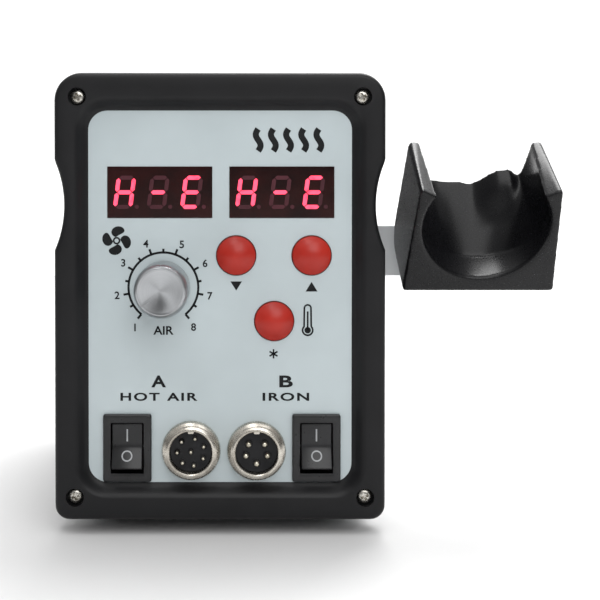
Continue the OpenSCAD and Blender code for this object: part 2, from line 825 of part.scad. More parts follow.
module cradle_trough() {
    trough_seat(30);
    hull() {
        trough_seat(0.02);
        slab(cradle_d, cradle_d + 1) polygon(rear_rim);
    }
    slab(-1, cradle_d + 1)
        polygon([[-16, 35.75], [16, 35.75], [22, 38.56], [22, 42], [-22, 42], [-22, 38.56]]);
}

// flat-topped boss that stands on the rear rim, with a shallow round recess in its front
module cradle_boss() {
    difference() {
        rod_y(boss_at[0], boss_at[1], cradle_d - 4.5, cradle_d, 4.1);
        rod_y(boss_at[0], boss_at[1], cradle_d - 5, cradle_d - 3, 3.1);
        block([0, 30], [0, 40], [boss_top, 40]);
    }
}

module cradle() {
    color("#2b2b2e") difference() {
        union() {
            trough_frame() {
                difference() {
                    cradle_block();
                    cradle_trough();
                }
                cradle_boss();
            }
            rod_x(pivot[0], pivot[1], cradle_x - lug_w / 2, cradle_x + lug_w / 2, 4.5);
            side_slab(cradle_x - lug_w / 2, cradle_x + lug_w / 2) translate(pivot) rotate(cradle_tilt)
                translate([-4.5, 0]) square([9, 9]);
        }
        rod_x(pivot[0], pivot[1], 60, 100, 1.5 + slip);
        trough_frame() translate([0, magnet_d, -1]) cylinder(r = 4.02, h = 4);
    }
}

module cradle_magnet() {
    color("#8f9296") trough_frame() translate([0, magnet_d, 0.2]) cylinder(r = 4, h = 2.8);
}

module pivot_screw() {
    color("silver") translate([arm_end, pivot[0], pivot[1]]) rotate([0, -90, 0])
        pan_screw(1.5, 19, 2.8, 1.8);
}

module pivot_nut() {
    x1 = cradle_x - lug_w / 2 - gap - ear_t;
    color("silver") difference() {
        translate([x1 - 3.2, pivot[0], pivot[1]]) rotate([0, 90, 0])
            cylinder(r = 3.1, h = 3.2, $fn = 6);
        rod_x(pivot[0], pivot[1], x1 - 4, x1 + 1, 1.51);
    }
}

placed() front_bezel();
placed() panel_overlay();
placed() display_left();
placed() display_right();
placed() display_pins();
placed() display_board();
placed() board_screws();
placed() tact_switches();
placed() button_down();
placed() button_up();
placed() button_set();
placed() pot_body();
placed() pot_nut();
placed() pot_shaft();
placed() knob();
placed() air_socket_shell();
placed() air_socket_insert();
placed() air_socket_pins();
placed() iron_socket_shell();
placed() iron_socket_insert();
placed() iron_socket_pins();
placed() socket_nuts();
placed() air_switch_housing();
placed() air_switch_rocker();
placed() iron_switch_housing();
placed() iron_switch_rocker();
placed() switch_terminals();
placed() bezel_screws();
placed() chassis_tray();
placed() top_cover();
placed() rear_panel();
placed() cover_screws();
placed() inlet_housing();
placed() inlet_pins();
placed() inlet_screws();
placed() fuse_drawer();
placed() fuse();
placed() transformer_core();
placed() transformer_bobbin();
placed() transformer_winding();
placed() transformer_frame();
placed() transformer_screws();
placed() main_board();
placed() board_standoffs();
placed() relay();
placed() capacitors();
placed() heatsink();
placed() triacs();
placed() terminal_blocks();
placed() control_chips();
placed() ribbon_cable();
placed() feet();
placed() foot_screws();
placed() cradle_bracket();
placed() bracket_screws();
placed() bracket_nuts();
placed() cradle();
placed() cradle_magnet();
placed() pivot_screw();
placed() pivot_nut();
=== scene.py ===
import json
import math

import bmesh
import bpy
from mathutils import Matrix, Vector


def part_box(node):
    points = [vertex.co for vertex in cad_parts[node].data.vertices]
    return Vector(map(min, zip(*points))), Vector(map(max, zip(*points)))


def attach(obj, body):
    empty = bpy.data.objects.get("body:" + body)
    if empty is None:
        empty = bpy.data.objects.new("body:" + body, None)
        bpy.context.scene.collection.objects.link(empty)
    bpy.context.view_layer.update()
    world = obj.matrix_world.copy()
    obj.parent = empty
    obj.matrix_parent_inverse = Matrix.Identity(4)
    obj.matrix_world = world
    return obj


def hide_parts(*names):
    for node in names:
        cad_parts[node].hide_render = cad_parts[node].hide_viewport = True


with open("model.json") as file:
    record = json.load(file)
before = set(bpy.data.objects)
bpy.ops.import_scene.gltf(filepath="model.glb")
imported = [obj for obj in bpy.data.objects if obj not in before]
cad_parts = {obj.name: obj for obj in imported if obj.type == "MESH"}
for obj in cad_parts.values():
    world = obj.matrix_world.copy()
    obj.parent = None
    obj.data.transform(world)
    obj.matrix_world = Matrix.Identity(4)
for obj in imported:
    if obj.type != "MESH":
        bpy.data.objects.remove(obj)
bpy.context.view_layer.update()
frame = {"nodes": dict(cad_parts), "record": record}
nodes = frame["nodes"]
slotOf = {part["node"]: part["material_slot"] for part in frame["record"]["subparts"]}
mm = 0.001
waveRepeat = 0.314  # a wave texture of scale 1 repeats after this many metres
print("frame loaded:", len(nodes), "nodes")


def linear(hexColour):
    channels = [int(hexColour[i:i + 2], 16) / 255 for i in (1, 3, 5)]
    return tuple(c / 12.92 if c <= 0.04045 else ((c + 0.055) / 1.055) ** 2.4 for c in channels) + (1.0,)


def per(sizeMm):
    # texture scale that puts one feature about every sizeMm
    return 1 / (sizeMm * mm)


def addNode(tree, kind, settings=None, links=None):
    node = tree.nodes.new(kind)
    for key, value in (settings or {}).items():
        if isinstance(key, str) and hasattr(node, key):
            setattr(node, key, value)
        else:
            node.inputs[key].default_value = value
    for key, source in (links or {}).items():
        tree.links.new(source, node.inputs[key])
    return node


def newFinish(name, sockets):
    # a fresh material with its shader, and points measured in metres on the object
    material = bpy.data.materials.new(name)
    material.use_nodes = True
    tree = material.node_tree
    shader = tree.nodes["Principled BSDF"]
    for socket, value in sockets.items():
        shader.inputs[socket].default_value = value
    place = addNode(tree, "ShaderNodeTexCoord").outputs["Object"]
    return material, tree, shader, place


def slowAndFine(tree, place, slowMm, fineMm, stretch=(1, 1, 1)):
    # a slow drift of shade, and a fine grain that stretch draws out along rubbed or rolled surfaces
    slow = addNode(tree, "ShaderNodeTexNoise", {"Scale": per(slowMm), "Detail": 3.0}, {"Vector": place})
    along = addNode(tree, "ShaderNodeMapping", {"Scale": stretch}, {"Vector": place})
    fine = addNode(tree, "ShaderNodeTexNoise", {"Scale": per(fineMm), "Detail": 4.0, "Roughness": 0.6},
                   {"Vector": along.outputs["Vector"]})
    return slow.outputs["Fac"], fine.outputs["Fac"]


def shadeSurface(tree, shader, tone, colours, grain, gloss, depthMm=0.0, band=(0.35, 0.65)):
    # tone runs the colour from dark to light, grain runs the roughness and stands up by the depth
    ramp = addNode(tree, "ShaderNodeMapRange", {"From Min": band[0], "From Max": band[1]}, {"Value": tone})
    tint = addNode(tree, "ShaderNodeMix", {"data_type": "RGBA", 6: linear(colours[1]), 7: linear(colours[0])},
                   {0: ramp.outputs["Result"]})
    tree.links.new(tint.outputs[2], shader.inputs["Base Color"])
    dulling = addNode(tree, "ShaderNodeMapRange", {"To Min": gloss[0], "To Max": gloss[1]}, {"Value": grain})
    tree.links.new(dulling.outputs["Result"], shader.inputs["Roughness"])
    if depthMm:
        relief = addNode(tree, "ShaderNodeBump", {"Distance": depthMm * mm}, {"Height": grain})
        tree.links.new(relief.outputs["Normal"], shader.inputs["Normal"])


def sparkErodedPlastic(name, colours, gloss, grainMm, depthMm):
    # injection-moulded in a spark-eroded tool: a fine pebble that softens highlights, cloudy flow marks
    material, tree, shader, place = newFinish(name, {"IOR": 1.52, "Specular IOR Level": 0.26})
    slow, fine = slowAndFine(tree, place, 14, grainMm)
    shadeSurface(tree, shader, slow, colours, fine, gloss, depthMm)
    return material


def polishedPlastic(name, colours, gloss):
    # moulded in a polished tool: glossy, with slight sink that bends the reflections
    material, tree, shader, place = newFinish(name, {"IOR": 1.53, "Specular IOR Level": 0.36})
    slow, fine = slowAndFine(tree, place, 9, 1.6)
    shadeSurface(tree, shader, slow, colours, fine, gloss, 0.004)
    return material


def platedMetal(name, colours, gloss, rubMm=0.5):
    # nickel, tin or oxide over turned or stamped metal: bright, with tiny rub marks along it
    material, tree, shader, place = newFinish(name, {"Metallic": 1.0})
    slow, fine = slowAndFine(tree, place, 3.5, rubMm, (1, 0.25, 1))
    shadeSurface(tree, shader, slow, colours, fine, gloss, 0.0004)
    return material


def rolledSheet(name, colours, gloss, spangleMm=5):
    # zinc-plated rolled steel: soft crystal spangle under a grain drawn along the sheet
    material, tree, shader, place = newFinish(name, {"Metallic": 1.0})
    spangle = addNode(tree, "ShaderNodeTexVoronoi", {"Scale": per(spangleMm)}, {"Vector": place})
    tone = addNode(tree, "ShaderNodeSeparateColor", {}, {"Color": spangle.outputs["Color"]})
    slow, fine = slowAndFine(tree, place, 20, 0.6, (1, 0.08, 1))
    shadeSurface(tree, shader, tone.outputs["Red"], colours, fine, gloss, 0.008, (0.0, 1.0))
    return material


def turnedMetal(name, colours, gloss, centre, ringMm=0.16):
    # faced on a lathe and clear anodised: concentric tool rings about the axis, which lies along Y
    material, tree, shader, place = newFinish(name, {"Metallic": 1.0, "Anisotropic": 0.85})
    fromAxis = addNode(tree, "ShaderNodeVectorMath", {"operation": "SUBTRACT", 1: centre}, {0: place})
    across = addNode(tree, "ShaderNodeVectorMath", {"operation": "MULTIPLY", 1: (1, 0, 1)},
                     {0: fromAxis.outputs["Vector"]})
    radius = addNode(tree, "ShaderNodeVectorMath", {"operation": "LENGTH"}, {0: across.outputs["Vector"]})
    rings = addNode(tree, "ShaderNodeMath", {"operation": "MULTIPLY", 1: per(ringMm)},
                    {0: radius.outputs["Value"]})
    tool = addNode(tree, "ShaderNodeTexNoise", {"noise_dimensions": "1D", "Scale": 1.0, "Detail": 3.0},
                   {"W": rings.outputs["Value"]})
    shadeSurface(tree, shader, tool.outputs["Fac"], colours, tool.outputs["Fac"], gloss, 0.0004)
    tangent = addNode(tree, "ShaderNodeTangent", {"direction_type": "RADIAL", "axis": "Y"})
    tree.links.new(tangent.outputs["Tangent"], shader.inputs["Tangent"])
    return material


def powderCoat(name, colours, gloss, peelMm=0.9):
    # electrostatic powder coat: a fine orange peel that spreads the highlight
    material, tree, shader, place = newFinish(name, {"IOR": 1.5})
    slow, fine = slowAndFine(tree, place, 22, peelMm)
    shadeSurface(tree, shader, slow, colours, fine, gloss, 0.03)
    return material


def screenPrintedFilm(name, colours):
    # polycarbonate film printed on its back: an even pale tint under a clear velvet gloss
    material, tree, shader, place = newFinish(name, {"IOR": 1.58, "Coat Weight": 0.3, "Coat Roughness": 0.12})
    slow, fine = slowAndFine(tree, place, 30, 0.6)
    shadeSurface(tree, shader, slow, colours, fine, (0.3, 0.4), 0.002)
    return material


def screenInk(name, colours):
    # screen-printed ink: nearly flat colour, with the screen's mesh faint in its gloss
    material, tree, shader, place = newFinish(name, {"IOR": 1.5, "Specular IOR Level": 0.2})
    slow, fine = slowAndFine(tree, place, 2.5, 0.4)
    shadeSurface(tree, shader, slow, colours, fine, (0.42, 0.52))
    return material


def glowingSegment(name, colour, edge, strength):
    # lit light-pipe of a seven-segment digit: its glow drifts in a slow noise between a brighter and a deeper red
    material, tree, shader, place = newFinish(name, {"Roughness": 0.35, "Emission Strength": strength,
                                                     "Base Color": linear(edge)})
    slow, fine = slowAndFine(tree, place, 2.4, 0.5)
    heat = addNode(tree, "ShaderNodeMapRange", {"From Min": 0.2, "From Max": 0.5}, {"Value": slow})
    glow = addNode(tree, "ShaderNodeMix", {"data_type": "RGBA", 6: linear(edge), 7: linear(colour)},
                   {0: heat.outputs["Result"]})
    tree.links.new(glow.outputs[2], shader.inputs["Emission Color"])
    return material


def solderMask(name):
    # green lacquer over copper: the traces show as a lighter grid below the gloss
    material, tree, shader, place = newFinish(name, {"IOR": 1.55, "Roughness": 0.25})
    board, trace = linear("#0f4a2a"), linear("#2c7a48")
    copper = addNode(tree, "ShaderNodeTexBrick", {"Scale": per(12), "Mortar Size": 0.05, "Bias": -1.0,
                     "Color1": board, "Color2": board, "Mortar": trace}, {"Vector": place})
    tree.links.new(copper.outputs["Color"], shader.inputs["Base Color"])
    return material


def stripedSurface(name, sockets, direction, repeatMm, colours, gloss, depthMm):
    # parallel layers: punched laminations, wound turns or the cores of a flat cable
    material, tree, shader, place = newFinish(name, sockets)
    layers = addNode(tree, "ShaderNodeTexWave", {"bands_direction": direction, "Distortion": 0.3,
                     "Scale": waveRepeat * per(repeatMm)}, {"Vector": place})
    shadeSurface(tree, shader, layers.outputs["Fac"], colours, layers.outputs["Fac"], gloss, depthMm, (0, 1))
    return material


def clearGlass(name):
    # drawn glass tube with a faint waviness
    material, tree, shader, place = newFinish(name, {"IOR": 1.5, "Transmission Weight": 0.9})
    slow, fine = slowAndFine(tree, place, 8, 3)
    shadeSurface(tree, shader, slow, ("#eef3f2", "#dfe6e4"), fine, (0.03, 0.08))
    return material


knobLow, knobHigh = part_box("knob")
rubber = sparkErodedPlastic("vulcanisedRubber", ("#252525", "#131313"), (0.68, 0.85), 0.4, 0.03)
finishes = {
    "black_abs": sparkErodedPlastic("satinAbs", ("#131315", "#0e0e10"), (0.38, 0.5), 0.6, 0.006),
    "cradle_abs": sparkErodedPlastic("cradleAbs", ("#101012", "#0b0b0d"), (0.24, 0.32), 0.7, 0.002),
    "panel_film": screenPrintedFilm("printedPolycarbonate", ("#b8c3c6", "#b1bcbf")),
    "led_filter": polishedPlastic("smokedRedFilter", ("#2a0c0b", "#1b0707"), (0.12, 0.2)),
    "tinned_metal": platedMetal("tinnedBrass", ("#d9d4c4", "#b9b3a2"), (0.22, 0.4)),
    "circuit_board": solderMask("solderMaskGreen"),
    "nickel": platedMetal("nickelPlate", ("#cfccc5", "#a9a59c"), (0.18, 0.36)),
    "black_nylon": polishedPlastic("blackNylon", ("#1f1f21", "#161617"), (0.24, 0.34)),
    "red_cap": polishedPlastic("redPolystyrene", ("#b02618", "#a32013"), (0.3, 0.42)),
    "blue_plastic": polishedPlastic("bluePbt", ("#2f62a8", "#274f8c"), (0.3, 0.4)),
    "steel_bright": platedMetal("brightSteel", ("#c6c8ca", "#a6a8aa"), (0.18, 0.34)),
    "spun_aluminium": turnedMetal("facedAluminium", ("#b4b6b8", "#a6a8ab"), (0.26, 0.34),
                                  tuple((knobLow + knobHigh) / 2)),
    "nickel_shell": platedMetal("warmNickel", ("#cdc8be", "#aaa49a"), (0.2, 0.34), 0.4),
    "phenolic": sparkErodedPlastic("phenolicResin", ("#18181b", "#0f0f11"), (0.3, 0.4), 0.5, 0.01),
    "zinc_sheet": rolledSheet("zincSteel", ("#c3c7cb", "#a6aaaf"), (0.3, 0.46)),
    "powder_coat": powderCoat("blackPowderCoat", ("#27282b", "#1f2022"), (0.42, 0.56)),
    "black_screw": platedMetal("blackOxide", ("#3a3a3c", "#252527"), (0.3, 0.46)),
    "fuse_glass": clearGlass("fuseGlass"),
    "lamination": stripedSurface("siliconSteel", {"Metallic": 0.6}, "Y", 0.6, ("#55585c", "#1e2023"),
                                 (0.4, 0.55), 0.05),
    "ivory_nylon": sparkErodedPlastic("ivoryNylon", ("#d8d0b6", "#c6bda1"), (0.44, 0.56), 0.8, 0.01),
    "coil_tape": stripedSurface("polyesterTape", {"IOR": 1.6}, "Z", 5, ("#d39a2b", "#96600f"),
                                (0.15, 0.25), 0.1),
    "brass": platedMetal("turnedBrass", ("#c9a763", "#a48141"), (0.2, 0.36)),
    "capacitor_sleeve": polishedPlastic("shrinkSleeve", ("#1c2036", "#141728"), (0.2, 0.3)),
    "aluminium_fin": rolledSheet("extrudedAluminium", ("#b5b8bb", "#969a9e"), (0.34, 0.5), 8),
    "epoxy": sparkErodedPlastic("mouldedEpoxy", ("#1b1b1c", "#121213"), (0.55, 0.66), 0.4, 0.02),
    "green_plastic": polishedPlastic("greenPolyamide", ("#2c8a4b", "#23713d"), (0.34, 0.46)),
    "grey_ribbon": stripedSurface("ribbonPvc", {"IOR": 1.5}, "X", 1.27, ("#9da0a5", "#6c6f74"),
                                  (0.4, 0.5), 0.1),
    "black_rubber": rubber,
    "bracket_steel": powderCoat("greySatinPaint", ("#e0e2e4", "#d6d9db"), (0.3, 0.42), 1.4),
    "magnet": platedMetal("magnetNickel", ("#b4b6b8", "#8f9193"), (0.22, 0.38)),
}
paleInk = screenInk("paleInk", ("#a9abad", "#9c9ea0"))
panelInk = screenInk("panelInk", ("#16181a", "#0d0e10"))
litSegment = glowingSegment("litSegment", "#ff5470", "#f0203f", 1.6)
dimSegment = sparkErodedPlastic("unlitSegment", ("#4c1f28", "#3d171f"), (0.45, 0.55), 0.6, 0.004)

for name, piece in nodes.items():
    piece.data.materials.clear()
    piece.data.materials.append(finishes[slotOf[name]])
print("finishes made:", len(finishes))


# pieces are drawn in millimetres, x from the middle of the front frame, y back from its front edge
# and z up from its bottom edge; home moves them to where the frame stands
frameLow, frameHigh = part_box("front_bezel")
home = Vector(((frameLow.x + frameHigh.x) / 2, frameLow.y, frameLow.z))


def centreOf(node):
    low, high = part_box(node)
    x, y, z = ((low + high) / 2 - home) / mm
    return x, z


def stacked(rings):
    # closed skin over rings that have the same number of points, capped at both ends
    count = len(rings[0])
    points = [point for ring in rings for point in ring]
    faces = [tuple(range(count)), tuple(range(len(points) - count, len(points)))]
    for row in range(len(rings) - 1):
        for i in range(count):
            a, b = row * count + i, row * count + (i + 1) % count
            faces.append((a, b, b + count, a + count))
    return points, faces


def turned(profile, x, z, steps=72):
    # turned about a line along Y from (y, radius) pairs: solid if it starts and ends at radius 0, else a ring
    points, rows = [], []
    for y, radius in profile:
        start = len(points)
        angles = [2 * math.pi * i / steps for i in range(steps)] if radius else [0]
        points += [(x + radius * math.sin(a), y, z + radius * math.cos(a)) for a in angles]
        rows.append([start + i if radius else start for i in range(steps)])
    ends = rows[1:] if profile[0][1] == 0 else rows[1:] + rows[:1]
    faces = []
    for row, after in zip(rows, ends):
        for i in range(steps):
            j = (i + 1) % steps
            face = tuple(dict.fromkeys((row[i], row[j], after[j], after[i])))
            if len(face) > 2:
                faces.append(face)
    return points, faces


def extruded(outline, y0, y1):
    return stacked([[(x, y, z) for x, z in outline] for y in (y0, y1)])


def movedBy(shape, matrix):
    return [tuple(matrix @ Vector(point)) for point in shape[0]], shape[1]


def roundedRect(x, z, halfW, halfH, radius, steps=8):
    outline = []
    for k, (sx, sz) in enumerate(((1, 1), (-1, 1), (-1, -1), (1, -1))):
        for i in range(steps + 1):
            a = math.radians(90 * (k + i / steps))
            outline.append((x + sx * (halfW - radius) + radius * math.cos(a),
                            z + sz * (halfH - radius) + radius * math.sin(a)))
    return outline


def meshOf(name, shapes):
    # one mesh from shapes, with its faces turned outwards
    build = bmesh.new()
    for points, faces in shapes:
        made = [build.verts.new(home + Vector(point) * mm) for point in points]
        for face in faces:
            build.faces.new([made[i] for i in face])
    bmesh.ops.recalc_face_normals(build, faces=build.faces)
    mesh = bpy.data.meshes.new(name)
    build.to_mesh(mesh)
    build.free()
    return mesh


def objectOf(name, shapes):
    made = bpy.data.objects.new(name, meshOf(name, shapes))
    bpy.context.scene.collection.objects.link(made)
    return made


def baked(made):
    # the object's mesh with its modifiers worked in
    bpy.context.view_layer.update()
    mesh = bpy.data.meshes.new_from_object(made.evaluated_get(bpy.context.evaluated_depsgraph_get()))
    made.modifiers.clear()
    made.data = mesh
    return made


def carved(made, cutters, operation="DIFFERENCE"):
    # cuts each shape out of the object, or joins it on
    for shape in cutters:
        tool = objectOf("cutter", [shape])
        step = made.modifiers.new("carve", "BOOLEAN")
        step.object, step.operation, step.solver = tool, operation, "EXACT"
        baked(made)
        bpy.data.objects.remove(tool)
    return made


def finishPiece(made, slotName, body="station", replaced=(), finish=None, sharpAngle=34):
    mesh = made.data
    mesh.materials.clear()
    mesh.materials.append(finish or finishes[slotName])
    for face in mesh.polygons:
        face.material_index = 0
    mesh.shade_smooth()
    mesh.set_sharp_from_angle(angle=math.radians(sharpAngle))
    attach(made, body)
    if replaced:
        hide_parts(*replaced)
    return made


def softenEdges(made, widthMm, segments=3, angle=40):
    step = made.modifiers.new("softenedEdges", "BEVEL")
    step.width, step.segments = widthMm * mm, segments
    step.limit_method, step.angle_limit = "ANGLE", math.radians(angle)
    return made


bezel = {"halfWidth": 51, "height": 138, "depth": 14, "topRadius": 8.5, "bottomRadius": 4.5,
         "scallopHeight": 97.25, "scallopRadius": 34.52, "scallopDepth": 2.9, "edgeRound": 1.6,
         "slope": 4.3, "recess": 3.5, "plateBack": 6.5, "wall": 2.5, "raysPerTurn": 540,
         "screws": ((-43.9, 130.6), (43.9, 130.6), (-44.8, 7), (44.8, 7)), "counterbore": 2.8}
panel = {"halfWidth": 40.85, "bottom": 11, "top": 126.5, "radius": 6}


def insideRounded(x, z, halfW, bottom, top, lowRadius, highRadius):
    if abs(x) > halfW or z < bottom or z > top:
        return False
    radius = highRadius if z > (bottom + top) / 2 else lowRadius
    dx = abs(x) - (halfW - radius)
    dz = z - (top - radius) if z > (bottom + top) / 2 else (bottom + radius) - z
    return dx <= 0 or dz <= 0 or dx * dx + dz * dz <= radius * radius


def insideFrame(x, z, inset):
    b = bezel
    side = abs(x) - (b["halfWidth"] - b["scallopDepth"] + b["scallopRadius"])
    if math.hypot(side, z - b["scallopHeight"]) < b["scallopRadius"] + inset:
        return False
    return insideRounded(x, z, b["halfWidth"] - inset, inset, b["height"] - inset,
                         max(b["bottomRadius"] - inset, 0.6), max(b["topRadius"] - inset, 0.6))


def insidePanel(x, z, grow):
    p = panel
    return insideRounded(x, z, p["halfWidth"] + grow, p["bottom"] - grow, p["top"] + grow,
                         p["radius"] + grow, p["radius"] + grow)


def ringAt(y, inside, amount):
    # the outline's points along rays from the panel's middle, found by halving
    middle, ring = (0.0, 68.75), []
    for i in range(bezel["raysPerTurn"]):
        a = 2 * math.pi * i / bezel["raysPerTurn"]
        near, far = 0.0, 110.0
        for step in range(22):
            reach = (near + far) / 2
            near, far = (reach, far) if inside(middle[0] + reach * math.sin(a),
                                               middle[1] + reach * math.cos(a), amount) else (near, reach)
        ring.append((middle[0] + near * math.sin(a), y, middle[1] + near * math.cos(a)))
    return ring


def makeBezel():
    b = bezel
    rings = [ringAt(b["plateBack"], insideFrame, b["wall"]), ringAt(b["depth"], insideFrame, b["wall"]),
             ringAt(b["depth"], insideFrame, 0)]
    for k in range(6):
        a = math.radians(90 * k / 5)
        rings.append(ringAt(b["edgeRound"] * (1 - math.sin(a)), insideFrame, b["edgeRound"] * (1 - math.cos(a))))
    for k in range(9):
        t = k / 8
        ease = t - 0.1 * math.sin(2 * math.pi * t)  # slow at both ends, so the slope blends into both flats
        rings.append(ringAt(b["recess"] * ease, insidePanel, b["slope"] * (1 - t)))
    rings.append(ringAt(b["recess"] + 0.5, insidePanel, 0))
    made = objectOf("bezelMoulding", [stacked(rings)])
    holes = [turned(((-1, 0), (-1, b["counterbore"]), (3, b["counterbore"]), (3, 1.3), (20, 1.3), (20, 0)), x, z)
             for x, z in b["screws"]]
    back = b["plateBack"] + 1
    for display in ("display_left", "display_right"):
        x, z = centreOf(display)
        holes.append(extruded(roundedRect(x, z, 16.3, 8.0, 0.2, 2), -1, back))
    for node, radius in (("button_down", 6.3), ("button_up", 6.3), ("button_set", 6.3), ("knob", 3.7),
                         ("air_socket_shell", 8.0), ("iron_socket_shell", 8.0)):
        x, z = centreOf(node)
        holes.append(turned(((-1, 0), (-1, radius), (back, radius), (back, 0)), x, z))
    for node in ("air_switch_housing", "iron_switch_housing"):
        x, z = centreOf(node)
        holes.append(extruded(roundedRect(x, z, 6.6, 9.6, 0.3, 2), -1, back))
    carved(made, holes)
    return finishPiece(made, "black_abs", replaced=("front_bezel",), sharpAngle=28)


makeBezel()
print("front frame made")


ink = {"back": 3.52, "front": 3.46, "mark": 0.04}


def strokeOf(path, width, y0=ink["front"], y1=ink["back"]):
    # a printed line of even width with square ends
    left, right = [], []
    for i, (x, z) in enumerate(path):
        x0, z0 = path[max(i - 1, 0)]
        x1, z1 = path[min(i + 1, len(path) - 1)]
        size = math.hypot(x1 - x0, z1 - z0)
        nx, nz = -(z1 - z0) / size * width / 2, (x1 - x0) / size * width / 2
        left.append((x + nx, z + nz))
        right.append((x - nx, z - nz))
    points = [(x, y, z) for y in (y0, y1) for x, z in left + right[::-1]]
    return stripFaces(points, len(path))


def stripFaces(points, count):
    # four-sided bands down the line, so that a curved one never folds over itself
    total, faces = 2 * count, []
    for i in range(count - 1):
        a, b, c, d = i, i + 1, total - 2 - i, total - 1 - i
        faces += [(a, b, c, d), tuple(total + k for k in (d, c, b, a))]
    for i in range(total):
        j = (i + 1) % total
        faces.append((i, j, total + j, total + i))
    return points, faces


def polar(x, z, angle, radius):
    # angle clockwise from the top, in degrees
    return x + radius * math.sin(math.radians(angle)), z + radius * math.cos(math.radians(angle))


def arcPath(x, z, radius, first, last, steps):
    return [polar(x, z, first + (last - first) * i / steps, radius) for i in range(steps + 1)]


def wordShapes(word, x, z, height, width=None, heavy=0.0, spacing=1.0, y0=ink["front"], y1=ink["back"]):
    # letters centred on x, z, scaled so that their capitals have this height and the word this width
    curve = bpy.data.curves.new("word", "FONT")
    curve.body, curve.offset, curve.space_character = word, heavy, spacing
    curve.resolution_u = 6
    source = bpy.data.objects.new("word", curve)
    bpy.context.scene.collection.objects.link(source)
    bpy.context.view_layer.update()
    mesh = bpy.data.meshes.new_from_object(source.evaluated_get(bpy.context.evaluated_depsgraph_get()))
    bpy.data.objects.remove(source)
    xs, zs = [v.co.x for v in mesh.vertices], [v.co.y for v in mesh.vertices]
    scaleZ = height / (max(zs) - min(zs))
    scaleX = width / (max(xs) - min(xs)) if width else scaleZ
    midX, midZ = (max(xs) + min(xs)) / 2, (max(zs) + min(zs)) / 2
    flat = [(x + (v.co.x - midX) * scaleX, z + (v.co.y - midZ) * scaleZ) for v in mesh.vertices]
    # a side wall stands on each edge that runs one way only, once even where a letter repeats it
    edges = dict.fromkeys((a, b) for face in mesh.polygons
                          for a, b in zip(face.vertices, list(face.vertices[1:]) + [face.vertices[0]]))
    rim = [(a, b) for a, b in edges if (b, a) not in edges]
    count = len(flat)
    points = [(px, y, pz) for y in (y0, y1) for px, pz in flat]
    faces = [tuple(f.vertices) for f in mesh.polygons]
    faces += [tuple(count + i for i in reversed(f.vertices)) for f in mesh.polygons]
    faces += [(b, a, count + a, count + b) for a, b in rim]
    bpy.data.meshes.remove(mesh)
    return [(points, faces)]


dial = {"arcRadius": 10.83, "line": 0.7, "sweep": 141.0, "tickStep": 20.1, "shortTick": 12.0, "longTick": 12.6,
        "figureHeight": 2.4, "wordDrop": 13.4, "wordHeight": 2.7, "wordWidth": 6.3,
        "figures": ((-144.7, 15.3), (-99.8, 14.6), (-58.6, 14.6), (-21.9, 14.6),
                    (23.2, 14.5), (60.0, 14.95), (100.5, 14.7), (142.9, 15.5))}


def makeDial():
    d = dial
    x, z = centreOf("knob")
    shapes = [strokeOf(arcPath(x, z, d["arcRadius"], -d["sweep"], d["sweep"], 96), d["line"])]
    for i in range(15):
        angle = (i - 7) * d["tickStep"]
        reach = d["longTick"] if i % 2 == 0 else d["shortTick"]
        shapes.append(strokeOf([polar(x, z, angle, r) for r in (d["arcRadius"], reach)], d["line"]))
    for i, (angle, radius) in enumerate(d["figures"]):
        fx, fz = polar(x, z, angle, radius)
        shapes += wordShapes(str(i + 1), fx, fz, d["figureHeight"], heavy=0.022)
    shapes += wordShapes("AIR", x, z - d["wordDrop"], d["wordHeight"], d["wordWidth"], 0.022)
    return finishPiece(objectOf("dialPrint", shapes), "panel_film", finish=panelInk)


icons = {"fan": (-32.1, 86.2, 4.55), "down": (5.0, 72.1, 3.6, 2.85), "up": (28.4, 71.9, 3.7, 3.0),
         "thermometer": (27.2, 56.5, 66.5, 1.85, 1.3, 0.55), "star": (16.6, 51.0, 1.45),
         "heat": (21.2, 117.4, 23.5, 6.8, 1.9)}


def fanShapes(x, z, radius):
    # four rounded blades swept about a ring hub
    shapes = [strokeOf(arcPath(x, z, radius * 0.2, 0, 360, 24), radius * 0.12)]
    for k in range(4):
        blade = []
        for i in range(25):
            t = 2 * math.pi * i / 24
            along = radius * (0.63 + 0.37 * math.cos(t))
            blade.append(polar(x, z, 90 * k + 2 + 36 * math.sin(t) + 14 * math.cos(t), along))
        shapes.append(extruded(blade, ink["front"], ink["back"]))
    return shapes


def thermometerShapes(x, low, high, bulb, stem, line):
    # bulb and stem as one outline, with a filled bulb and mercury line
    join = math.degrees(math.asin(stem / bulb))
    centre = low + bulb
    path = arcPath(x, centre, bulb - line / 2, join, 360 - join, 40)
    path += arcPath(x, high - stem, stem - line / 2, -90, 90, 16)
    path.append(path[0])
    shapes = [strokeOf(path, line)]
    shapes.append(extruded(arcPath(x, centre, bulb * 0.55, 0, 345, 23), ink["front"], ink["back"]))
    shapes.append(strokeOf([(x, centre), (x, high - stem - 1.0)], line))
    return shapes


def heatShapes(x, z, width, height, line):
    # a row of rising heat waves, the mark for hot air
    shapes, count = [], 5
    for k in range(count):
        cx = x + (k - (count - 1) / 2) * width / count
        path = [(cx + 0.75 * math.sin(2 * math.pi * t / 20), z - height / 2 + height * t / 20) for t in range(21)]
        shapes.append(strokeOf(path, line))
    return shapes


